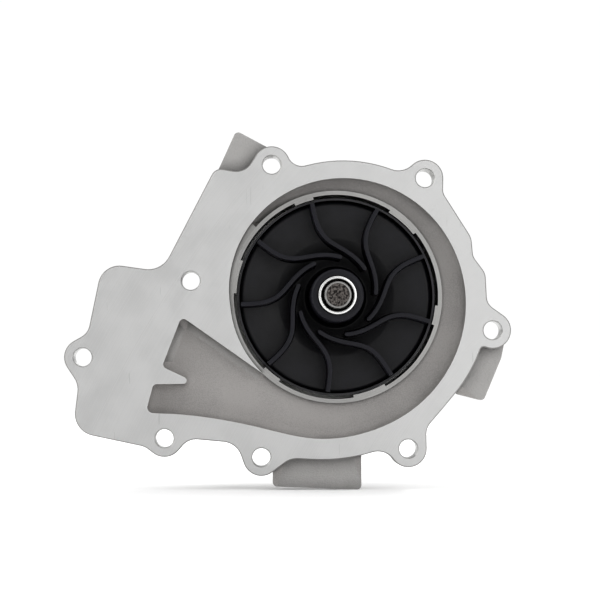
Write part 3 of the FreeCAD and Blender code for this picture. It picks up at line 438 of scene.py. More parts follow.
class Effect(Enum):
    """The shared surface effects, each a shader node group that is built once.

    Every group has the input Vector, one of Scale, Width and Reach, and the outputs Height and Tone. The
    turning marks also have a Centre.
    """

    GRAIN = "fine_grain"
    CAST = "cast_pebble"
    TORN = "torn_crumbs"
    TURNING = "turning_marks"
    NICKS = "nicks_and_scratches"
    # lighter edges: rubbed wear and painted highlight
    WORN_AND_HIGHLIT = "worn_and_highlit_edges"
    # painted shade in closed-in places, with settled dirt
    SHADE_AND_DIRT = "painted_shade_and_dirt"

    def group(self) -> Tree:
        """The node group, built the first time that it is asked for."""
        return bpy.data.node_groups.get(self.value) or self._build()

    def _build(self) -> Tree:
        """Makes the group's sockets and calls the method that fills it.

        Returns:
            The group's tree.
        """
        sockets, fill = {
            Effect.GRAIN: ({"Scale": 900.0}, self._grain),
            Effect.CAST: ({"Scale": 900.0}, self._cast),
            Effect.TORN: ({"Scale": 1200.0}, self._torn),
            Effect.TURNING: ({"Scale": 4000.0, "Centre": (0.0, 0.0, 0.0)}, self._turning),
            Effect.NICKS: ({"Scale": 90.0}, self._nicks),
            Effect.WORN_AND_HIGHLIT: ({"Width": 0.0004}, self._worn_and_highlit),
            Effect.SHADE_AND_DIRT: ({"Reach": 0.005}, self._shade_and_dirt),
        }[self]
        tree = bpy.data.node_groups.new(self.value, "ShaderNodeTree")
        tree.interface.new_socket("Vector", in_out="INPUT", socket_type="NodeSocketVector")
        for name, value in sockets.items():
            kind = "NodeSocketVector" if isinstance(value, tuple) else "NodeSocketFloat"
            tree.interface.new_socket(name, in_out="INPUT", socket_type=kind).default_value = value
        for name in ("Height", "Tone"):
            tree.interface.new_socket(name, in_out="OUTPUT", socket_type="NodeSocketFloat")
        entry = tree.nodes.new("NodeGroupInput").outputs
        height, tone = fill(tree, entry)
        leave = tree.nodes.new("NodeGroupOutput")
        tree.links.new(height, leave.inputs["Height"])
        tree.links.new(tone, leave.inputs["Tone"])
        return tree

    @staticmethod
    def _noise(tree: Tree, vector: Socket, scale: float | Socket, detail: float = 3.0) -> Socket:
        """A noise texture's value."""
        return place(tree, "TexNoise", {"Vector": vector, "Scale": scale, "Detail": detail}).outputs[0]

    @staticmethod
    def _blend(tree: Tree, first: Socket, share: float, second: Socket) -> Socket:
        """The first value times its share, plus the second times the rest."""
        rest = maths(tree, "MULTIPLY", second, round(1 - share, 3))
        return maths(tree, "MULTIPLY_ADD", first, share, rest)

    def _grain(self, tree: Tree, entry: Inputs) -> Outputs:
        """Fine even grain, with a slow drift in tone.

        Args:
            tree: the group's tree.
            entry: the group's inputs.

        Returns:
            The sockets that give height and tone.
        """
        coarser = 0.05
        drift_share = 0.6
        fine = self._noise(tree, entry["Vector"], entry["Scale"], 4.0)
        slow = self._noise(tree, entry["Vector"], maths(tree, "MULTIPLY", entry["Scale"], coarser))
        return fine, self._blend(tree, slow, drift_share, fine)

    def _cast(self, tree: Tree, entry: Inputs) -> Outputs:
        """The pebbled skin of a casting: rounded cells, a finer grit on them and a slow drift.

        Args:
            tree: the group's tree.
            entry: the group's inputs.

        Returns:
            The sockets that give height and tone.
        """
        finer, coarser = 2.3, 0.04
        grit_height, cell_height = 0.8, -0.6
        drift_share = 0.5
        inputs = {"Vector": entry["Vector"], "Scale": entry["Scale"], "Smoothness": 0.7}
        cells = place(tree, "TexVoronoi", inputs, feature="SMOOTH_F1").outputs[0]
        grit = self._noise(tree, entry["Vector"], maths(tree, "MULTIPLY", entry["Scale"], finer), 4.0)
        slow = self._noise(tree, entry["Vector"], maths(tree, "MULTIPLY", entry["Scale"], coarser))
        height = maths(tree, "MULTIPLY_ADD", grit, grit_height, maths(tree, "MULTIPLY", cells, cell_height))
        return height, self._blend(tree, slow, drift_share, grit)

    def _torn(self, tree: Tree, entry: Inputs) -> Outputs:
        """Pits and bright crumbs, as the shears leave them."""
        crumbs = self._noise(tree, entry["Vector"], entry["Scale"], 2.0)
        return crumbs, crumbs

    def _turning(self, tree: Tree, entry: Inputs) -> Outputs:
        """Rings left by a cutter: noise that depends on the distance from a centre and on depth.

        Args:
            tree: the group's tree.
            entry: the group's inputs.

        Returns:
            The sockets that give height and tone.
        """
        depth_share = 0.8
        drift_scale, drift_share = 70.0, 0.55
        moved = place(tree, "VectorMath", {0: entry["Vector"], 1: entry["Centre"]}, operation="SUBTRACT")
        parts = place(tree, "SeparateXYZ", {0: moved.outputs[0]}).outputs
        flat = place(tree, "CombineXYZ", {"X": parts["X"], "Z": parts["Z"]}).outputs[0]
        radius = place(tree, "VectorMath", {0: flat}, operation="LENGTH").outputs["Value"]
        along = maths(tree, "MULTIPLY_ADD", parts["Y"], depth_share, radius)
        inputs = {"W": along, "Scale": entry["Scale"], "Detail": 2.0}
        rings = place(tree, "TexNoise", inputs, noise_dimensions="1D").outputs[0]
        drift = self._noise(tree, entry["Vector"], drift_scale)
        return rings, self._blend(tree, drift, drift_share, rings)

    def _nicks(self, tree: Tree, entry: Inputs) -> Outputs:
        """A few small dents and short scratches, far apart.

        Args:
            tree: the group's tree.
            entry: the group's inputs.

        Returns:
            The same mask twice, as height and as tone.
        """
        undented_share, dent_slope = 0.72, 22.0
        scratch_turn, scratch_stretch = (0, 0.7, 0), (14, 14, 1)
        scratch_scale, scratch_level, scratch_strength = 60.0, 0.74, 0.5
        cells = place(tree, "TexVoronoi", {"Vector": entry["Vector"], "Scale": entry["Scale"]}).outputs
        lot = place(tree, "SeparateColor", {0: cells["Color"]}).outputs[0]
        chosen = maths(tree, "GREATER_THAN", lot, undented_share)
        slope = maths(tree, "MULTIPLY", cells["Distance"], dent_slope)
        dent = maths(tree, "MULTIPLY", maths(tree, "SUBTRACT!", 1.0, slope), chosen)
        inputs = {0: entry["Vector"], "Rotation": scratch_turn, "Scale": scratch_stretch}
        streaks = self._noise(tree, place(tree, "Mapping", inputs).outputs[0], scratch_scale, 1.0)
        line = maths(tree, "GREATER_THAN", streaks, scratch_level)
        mask = maths(tree, "MAXIMUM", dent, maths(tree, "MULTIPLY", line, scratch_strength))
        return mask, mask

    def _worn_and_highlit(self, tree: Tree, entry: Inputs) -> Outputs:
        """How far a rounded copy of the surface turns away from the real one, broken up by noise. Edges in
        this mask get a lighter colour: rubbed wear, and painted highlight along the edges.

        Args:
            tree: the group's tree.
            entry: the group's inputs.

        Returns:
            The same mask twice, as height and as tone.
        """
        edge_gain = 9.0
        break_scale, break_gain, break_offset = 420.0, 1.6, -0.25
        bevel = place(tree, "Bevel", {"Radius": entry["Width"]}, samples=4).outputs[0]
        normal = place(tree, "NewGeometry").outputs["Normal"]
        alike = place(tree, "VectorMath", {0: bevel, 1: normal}, operation="DOT_PRODUCT").outputs["Value"]
        edge = maths(tree, "MULTIPLY!", maths(tree, "SUBTRACT", 1.0, alike), edge_gain)
        noise = self._noise(tree, entry["Vector"], break_scale)
        breaks = maths(tree, "MULTIPLY_ADD", noise, break_gain, break_offset)
        mask = maths(tree, "MULTIPLY!", edge, breaks)
        return mask, mask

    def _shade_and_dirt(self, tree: Tree, entry: Inputs) -> Outputs:
        """How closed in the surface is. The mask darkens the base colour there: painted shade in corners
        and recesses, and settled dirt.

        Args:
            tree: the group's tree.
            entry: the group's inputs.

        Returns:
            The same mask twice, as height and as tone.
        """
        corner_power, corner_gain = 1.5, 2.6
        break_scale, break_gain, break_offset = 260.0, 0.8, 0.55
        open_sky = place(tree, "AmbientOcclusion", {"Distance": entry["Reach"]}, samples=6).outputs["AO"]
        closed_in = maths(tree, "POWER", maths(tree, "SUBTRACT!", 1.0, open_sky), corner_power)
        noise = self._noise(tree, entry["Vector"], break_scale)
        breaks = maths(tree, "MULTIPLY_ADD", noise, break_gain, break_offset)
        mask = maths(tree, "MULTIPLY!", maths(tree, "MULTIPLY", closed_in, corner_gain), breaks)
        return mask, mask


@dataclass(frozen=True)
class Finish:
    """A surface finish, which makes its own material.

    Attributes:
        name: what a maker would call it.
        colour: linear base colour.
        roughness: mean roughness.
        metallic: 1 for bare metal, 0 for plastic, rubber or paint.
        effect: the texture that its height and tone come from.
        scale: the texture's features per metre.
        depth: the texture's height in metres.
        tone: share by which the colour swings with the texture.
        centre: centre of the cutter's rings, for turned and milled finishes.
        worn_highlit_colour: colour of rubbed edges, also used as a painted highlight along edges.
        worn_highlit_amount: how strongly edges take that colour, from 0 to 1.
        edge: how far that edge colour reaches from an edge, in metres.
        shade_and_dirt: how dark closed-in places get, from 0 to 1, as painted shade and settled dirt.
        reach: how far the darkening reaches from a corner, in metres.
        nicks: how strongly dents and scratches show, from 0 to 1.
        coat: weight of a clear coat.
        gloss: specular level of plastic and rubber.
    """

    name: str
    colour: Colour
    roughness: float
    metallic: float = 1.0
    effect: Effect = Effect.GRAIN
    scale: float = 900.0
    depth: float = 0.00004
    tone: float = 0.10
    centre: Point = (0.0, 0.0, 0.0)
    worn_highlit_colour: Colour = (0.72, 0.72, 0.71)
    worn_highlit_amount: float = 0.3
    edge: float = 0.0004
    shade_and_dirt: float = 0.35
    reach: float = 0.004
    nicks: float = 0.0
    coat: float = 0.0
    gloss: float = 0.5

    def material(self) -> bpy.types.Material:
        """The finish's material, made the first time that it is asked for."""
        return bpy.data.materials.get(self.name) or self._build()

    def _shade(self, factor: float) -> tuple:
        """The base colour times a factor, with an alpha of 1."""
        return (*(channel * factor for channel in self.colour), 1.0)

    @staticmethod
    def _mix(tree: Tree, factor: Socket, first: tuple | Socket, second: tuple) -> Socket:
        """Mixes two colours.

        Args:
            tree: the material's tree.
            factor: how much of the second colour there is.
            first: the first colour.
            second: the second colour.

        Returns:
            The mixed colour.
        """
        colour_inputs = (6, 7)
        colour_output = 2
        inputs = dict(zip(colour_inputs, (first, second)))
        return place(tree, "Mix", {"Factor": factor, **inputs}, data_type="RGBA").outputs[colour_output]

    def _cover(self, tree: Tree, colour: Socket, mask: Socket, strength: float, over: tuple) -> Socket:
        """The colour with another one over it, as strongly as a mask times a strength."""
        return self._mix(tree, maths(tree, "MULTIPLY", mask, strength), colour, over)

    def _build(self) -> bpy.types.Material:
        """Makes the material: texture, rubbed edges with painted highlight, nicks, and dirt with painted
        shade, into one Principled shader.

        Returns:
            The material.
        """
        nick_shade = 0.45
        nick_depth = -2.0
        shade_dark_level = 0.15
        roughness_swing = 0.15
        made = bpy.data.materials.new(self.name)
        made.use_nodes = True
        tree = made.node_tree
        shader = tree.nodes["Principled BSDF"]
        where = {"Vector": place(tree, "TexCoord").outputs["Object"]}
        inputs = {**where, "Scale": self.scale}
        if self.effect is Effect.TURNING:
            inputs["Centre"] = self.centre
        skin = place_group(tree, self.effect.group(), inputs).outputs
        swing = spread(tree, skin["Tone"])
        colour = self._mix(tree, swing, self._shade(1 - self.tone), self._shade(1 + self.tone))
        height = skin["Height"]
        # lighter edges: rubbed wear, and painted highlight along the edges
        if self.worn_highlit_amount:
            edge = place_group(tree, Effect.WORN_AND_HIGHLIT.group(), {**where, "Width": self.edge})
            colour = self._cover(tree, colour, edge.outputs["Tone"], self.worn_highlit_amount, (*self.worn_highlit_colour, 1.0))
        if self.nicks:
            nick = place_group(tree, Effect.NICKS.group(), where).outputs["Tone"]
            colour = self._cover(tree, colour, nick, self.nicks, self._shade(nick_shade))
            height = maths(tree, "MULTIPLY_ADD", nick, nick_depth * self.nicks, height)
        # painted shade: the base colour is darkened where the surface is closed in, along with settled dirt
        if self.shade_and_dirt:
            shade_and_dirt = place_group(tree, Effect.SHADE_AND_DIRT.group(), {**where, "Reach": self.reach})
            colour = self._cover(tree, colour, shade_and_dirt.outputs["Tone"], self.shade_and_dirt, self._shade(shade_dark_level))
        tree.links.new(colour, shader.inputs["Base Color"])
        smoothest = self.roughness * (1 - roughness_swing)
        roughest = min(1.0, self.roughness * (1 + roughness_swing))
        tree.links.new(spread(tree, skin["Tone"], smoothest, roughest), shader.inputs["Roughness"])
        bump = place(tree, "Bump", {"Height": height, "Distance": self.depth})
        tree.links.new(bump.outputs[0], shader.inputs["Normal"])
        shader.inputs["Metallic"].default_value = self.metallic
        shader.inputs["Coat Weight"].default_value = self.coat
        shader.inputs["Specular IOR Level"].default_value = self.gloss
        return made


CUTTER_CENTRE = (0.31, 0.0, -0.24)
# The gasket face's lighter edge line is painted highlight; its thin darkening in corners is painted shade.
GASKET_FACE = Finish(
    "milled_gasket_face", (0.485, 0.485, 0.482), 0.44, effect=Effect.TURNING, scale=2600, depth=0.00003,
    tone=0.045, centre=CUTTER_CENTRE, worn_highlit_amount=0.6, edge=0.0005, shade_and_dirt=0.2, reach=0.001, nicks=0.5,
)
# Strong darkening with a short reach draws a thin dark line where the land meets a wall: painted shade.
RECESS_LAND = Finish(
    "turned_recess_land", (0.25, 0.246, 0.24), 0.46, effect=Effect.TURNING, scale=3600, depth=0.00002,
    tone=0.06, worn_highlit_amount=0.15, shade_and_dirt=1.0, reach=0.0012,
)
# The strong, short darkening draws a dark band along the foot of the volute's walls: painted shade.
VOLUTE_SKIN = Finish(
    "volute_cast_skin", (0.318, 0.306, 0.297), 0.7, 0.35, Effect.CAST, 1100, 0.00012, 0.16, worn_highlit_amount=0.5,
    shade_and_dirt=0.9, reach=0.0016,
)
CAST_SKIN = Finish(
    "die_cast_skin", (0.35, 0.343, 0.335), 0.6, 0.7, Effect.CAST, 1100, 0.00014, 0.12, worn_highlit_amount=0.45,
    shade_and_dirt=0.6, reach=0.006,
)
BORED = Finish(
    "bored_aluminium", (0.50, 0.50, 0.49), 0.36, effect=Effect.TURNING, scale=5200, depth=0.00001,
    tone=0.08, shade_and_dirt=0.5,
)
# The strong, short darkening draws a thin dark line in the ring's corners: painted shade.
GUIDE_RING = Finish(
    "turned_guide_ring", (0.29, 0.287, 0.28), 0.38, effect=Effect.TURNING, scale=5200, depth=0.00001,
    tone=0.10, worn_highlit_amount=0.3, shade_and_dirt=1.0, reach=0.0014,
)
# The sleeve is nearly black: dark steel, darkened further as painted shade for the gap round the impeller.
# Its lighter edges are painted highlight.
SHUTTER_SHEET = Finish(
    "dark_shutter_sheet", (0.035, 0.035, 0.037), 0.42, scale=2400, depth=0.00001,
    worn_highlit_colour=(0.2, 0.2, 0.2), worn_highlit_amount=0.5, edge=0.00008, shade_and_dirt=0.6,
)
# The long reach of its darkening shades the disc round the hub and between the vanes: painted shade. Its
# lighter edges are painted highlight.
MOULDED_BLACK = Finish(
    "glass_filled_black", (0.0115, 0.0114, 0.0170), 0.36, 0.0, Effect.GRAIN, 2600, 0.000016, 0.12,
    worn_highlit_colour=(0.10, 0.102, 0.11), worn_highlit_amount=0.6, edge=0.0001, shade_and_dirt=1.0, reach=0.018, gloss=0.2,
)
# A darker copy of the black moulding for everything in front of the disc: painted shade. Its light edge
# lines are painted highlight.
MOULDED_SHADED_FRONT = Finish(
    "vane_front_painted_shade", (0.0068, 0.0068, 0.0098), 0.36, 0.0, Effect.GRAIN, 2600, 0.000016, 0.12,
    worn_highlit_colour=(0.10, 0.102, 0.11), worn_highlit_amount=0.8, edge=0.00012, shade_and_dirt=0.6, reach=0.004, gloss=0.14,
)
PISTON_BLACK = Finish(
    "piston_moulding", (0.03, 0.03, 0.033), 0.5, 0.0, Effect.GRAIN, 2200, 0.00002, 0.2,
    worn_highlit_colour=(0.1, 0.1, 0.11),
)
BUSH_BRIGHT = Finish(
    "polished_bush", (0.88, 0.88, 0.87), 0.16, effect=Effect.TURNING, scale=6000, depth=0.000004,
    tone=0.05, shade_and_dirt=0.5, reach=0.002,
)
GROUND_STEEL = Finish(
    "ground_shaft", (0.24, 0.236, 0.23), 0.3, effect=Effect.TURNING, scale=8000, depth=0.000006, tone=0.10,
)
SAWN_END = Finish(
    "rough_shaft_end", (0.062, 0.055, 0.051), 0.42, 0.9, Effect.TORN, 1150, 0.0006, 0.85, worn_highlit_amount=0.0,
    shade_and_dirt=0.5,
)
BEARING_STEEL = Finish(
    "lapped_bearing_steel", (0.60, 0.60, 0.61), 0.2, scale=4000, depth=0.000004, worn_highlit_amount=0.2,
)
RUBBER = Finish(
    "seal_rubber", (0.022, 0.022, 0.023), 0.68, 0.0, Effect.GRAIN, 2400, 0.00003, 0.2,
    worn_highlit_colour=(0.07, 0.07, 0.07), gloss=0.35,
)
SEAL_SHELL = Finish("pressed_brass", (0.60, 0.46, 0.22), 0.3, scale=1800, depth=0.00001, tone=0.12)
TURNED_BRASS = Finish(
    "turned_brass", (0.62, 0.46, 0.20), 0.28, effect=Effect.TURNING, scale=6000, depth=0.000008,
    tone=0.10, worn_highlit_colour=(0.80, 0.66, 0.38),
)
CARBON = Finish("lapped_carbon", (0.03, 0.03, 0.032), 0.45, 0.0, scale=3000, depth=0.000006)
CERAMIC = Finish("lapped_ceramic", (0.10, 0.10, 0.11), 0.22, 0.0, scale=3000, depth=0.000004, coat=0.2)
SINTERED = Finish(
    "sintered_bronze", (0.42, 0.28, 0.14), 0.5, 0.9, Effect.CAST, 3000, 0.00003, 0.15,
    worn_highlit_colour=(0.6, 0.45, 0.25),
)
SPRING_WIRE = Finish("drawn_spring_wire", (0.38, 0.38, 0.39), 0.32, scale=3000, depth=0.000006)
ZINC_SHEET = Finish(
    "zinc_plated_sheet", (0.50, 0.50, 0.47), 0.36, scale=700, depth=0.00001, tone=0.12, nicks=0.4,
)
ZINC_SCREW = Finish("zinc_plated_screw", (0.44, 0.44, 0.45), 0.32, scale=1500, depth=0.000012, worn_highlit_amount=0.5)
FIBRE = Finish("pressed_fibre", (0.05, 0.055, 0.06), 0.85, 0.0, Effect.CAST, 2600, 0.00004, 0.25, worn_highlit_amount=0.0)
CAP_PLASTIC = Finish("cap_plastic", (0.02, 0.02, 0.02), 0.5, 0.0, scale=2500, depth=0.00002, tone=0.2)
CAGE_PLASTIC = Finish("cage_plastic", (0.55, 0.49, 0.36), 0.45, 0.0, scale=2500, depth=0.00002)
HUB_STEEL = Finish(
    "turned_hub", (0.34, 0.34, 0.345), 0.34, effect=Effect.TURNING, scale=4200, depth=0.000014, tone=0.12,
    worn_highlit_amount=0.5, nicks=0.3,
)
COATED_STEEL = Finish(
    "black_coated_pulley", (0.016, 0.016, 0.018), 0.38, 0.0, Effect.GRAIN, 1100, 0.00003, 0.2,
    worn_highlit_colour=(0.30, 0.30, 0.30), worn_highlit_amount=0.8, shade_and_dirt=0.4, nicks=0.3, coat=0.15,
)


# ---------------------------------------------------------------- sub-assemblies


@dataclass
class SubAssembly:
    """What every sub-assembly can do with its pieces."""

    def dress(self, node: str, finish: Finish) -> None:
        """Gives a node of the frame its finish."""
        piece = frame["nodes"][node]
        for material_slot in piece.material_slots:
            material_slot.material = finish.material()
        LOG.info("%s: %s", node, finish.name)

    def fit(self, piece: bpy.types.Object, node: str, slot: str, *finishes: Finish) -> bpy.types.Object:
        """Puts a new piece in place of a node.

        Args:
            piece: the new piece.
            node: the node that it stands for, whose body it rides on.
            slot: the record's material slot; not used.
            finishes: its finishes, in the order of its faces' material numbers.

        Returns:
            The piece.
        """
        for finish in finishes:
            piece.data.materials.append(finish.material())
        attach(piece, frame["nodes"][node]["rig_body"])
        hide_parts(node)
        LOG.info("%s: new piece for %s, %d faces", piece.name, node, len(piece.data.polygons))
        return piece


class Zone(IntEnum):
    """The casting's kinds of surface, numbered in the order of its finishes."""

    CAST = 0
    GASKET = 1
    LAND = 2
    VOLUTE = 3
    BORED = 4


@dataclass
class CoverCasting(SubAssembly):
    """The cast cover, with its machined faces, and the bushes pressed into it.

    Attributes:
        shelf: depth of the turned land, in millimetres.
        floor: depth of the volute's floor.
        cove: how far the floor's rounded edge reaches.
        pocket: radius of the guide ring's pocket.
        drum_back: depth of the drum's rear face.
        snout_back: depth of the bearing snout's rear face.
        boss: radius of a bolt boss's spot face.
        hole_edge: radius that holds a bolt hole and its countersink.
        hole_back: depth that the bolt holes' walls stay in front of.
        broken_edge: depth that the broken edges of the gasket face stay in front of.
    """

    shelf: float = 5.0
    floor: float = 9.0
    cove: float = 4.3
    pocket: float = 41.0
    drum_back: float = 64.0
    snout_back: float = 72.0
    boss: float = 7.3
    hole_edge: float = 4.2
    hole_back: float = 14.2
    broken_edge: float = 0.5

    def build(self) -> None:
        """Dresses the casting zone by zone."""
        casting = copy_of("pump_housing", "cover_casting")
        zones = self._zones(*face_table(casting.data), self._recess_rim(corner_table(casting.data)))
        finishes = (CAST_SKIN, GASKET_FACE, RECESS_LAND, VOLUTE_SKIN, BORED)
        self.fit(casting, "pump_housing", "cast_aluminium", *finishes)
        casting.data.polygons.foreach_set("material_index", zones)
        self.dress("rod_bushes", SINTERED)

    def _recess_rim(self, corners: Array) -> Array:
        """X and Z of the corners of the recess's two flat floors, to a tenth of a millimetre."""
        level = 0.01
        depth = corners[:, 1]
        off_floor = np.minimum(np.abs(depth - self.floor), np.abs(depth - self.shelf))
        return np.unique(corners[off_floor < level][:, [0, 2]].round(1), axis=0)

    def _holes(self) -> Array:
        """Centres of the bolt holes in X and Z, in millimetres."""
        mounts = frame["record"]["mounts"]
        places = [mount["pos_m"] for mount in mounts if mount["kind"] == "bore"]
        return np.array(places)[:, [0, 2]] / MM

    def _zones(self, centres: Array, normals: Array, floor_rim: Array) -> Array:
        """Numbers every face with its finish.

        Faces are told apart by depth, by which way they look, and by how near they are to a bolt hole or to
        the recess's floors.

        Args:
            centres: face centres in millimetres.
            normals: face normals.
            floor_rim: X and Z of the corners of the recess's two flat floors, in millimetres.

        Returns:
            The zone of each face.
        """
        straight, sloped = 0.98, 0.3
        level, rear_level, pocket_wall = 0.05, 0.1, 0.15
        depth, away = centres[:, 1], normals[:, 1]
        flat = centres[:, [0, 2]]
        radius = np.hypot(flat[:, 0], flat[:, 1])
        front, back = away < -straight, away > straight
        to_hole = nearest(flat, self._holes())
        zones = np.full(len(depth), Zone.CAST, np.int32)
        recess = (depth > level) & (depth < self.floor + level) & ~back
        zones[recess] = np.where(nearest(flat[recess], floor_rim) < self.cove, Zone.VOLUTE, Zone.CAST)
        zones[front & (np.abs(depth - self.floor) < level)] = Zone.VOLUTE
        # The gasket face's broken edges take the darker land finish: a thin dark line drawn as painted
        # shade.
        zones[(depth < self.broken_edge) & (away < -sloped)] = Zone.LAND
        zones[front & (np.abs(depth - self.shelf) < level)] = Zone.LAND
        zones[(radius < self.pocket) & (depth > self.floor + rear_level)] = Zone.BORED
        zones[(np.abs(radius - self.pocket) < pocket_wall) & (depth > self.shelf) & ~front] = Zone.BORED
        zones[(to_hole < self.hole_edge) & (depth < self.hole_back)] = Zone.BORED
        zones[back & (to_hole < self.boss)] = Zone.BORED
        zones[back & (np.abs(depth - self.drum_back) < rear_level)] = Zone.LAND
        zones[back & (np.abs(depth - self.snout_back) < rear_level)] = Zone.BORED
        zones[front & (depth < level)] = Zone.GASKET
        return zones


@dataclass
class RingShutter(SubAssembly):
    """The sliding ring round the impeller, its guide, its rods, piston and return springs.

    Attributes:
        rods: number of rods.
        rod_circle: radius of the circle that the rods stand on, in millimetres.
        first_rod: angle of the first rod in degrees.
        coil: mean radius of a spring.
        wire: radius of its wire.
        seat: depth of the springs' fixed end.
        free_end: depth of the end on the piston.
        turns: turns of a spring.
        shut_share: length of a shut spring as a share of an open one; not used.
    """

    rods: int = 3
    rod_circle: float = 31.0
    first_rod: float = 90.0
    coil: float = 4.9
    wire: float = 0.5
    seat: float = 36.1
    free_end: float = 53.9
    turns: int = 7
    shut_share: float = 0.38

    def build(self) -> None:
        """Dresses the shutter and winds its springs."""
        self.dress("shutter_guide_ring", GUIDE_RING)
        self.dress("shutter_sleeve", SHUTTER_SHEET)
        self.dress("shutter_rods", GROUND_STEEL)
        self.dress("shutter_piston", PISTON_BLACK)
        self.dress("piston_seal_rings", RUBBER)
        self._springs()

    def _springs(self) -> None:
        """Winds the return springs at one length; nothing makes them shorten as the shutter slides."""
        line = helix(self.coil * MM, self.wire * MM, self.seat * MM, self.free_end * MM, self.turns)
        coil = about_point(wire_along(line, self.wire * MM), self.rod_circle * MM, 0.0)
        coils = Shell().ring(coil, self.rods, self.first_rod).piece("return_spring_coils")
        springs = self.fit(coils, "return_springs", "spring_steel", SPRING_WIRE)
        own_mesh(springs)


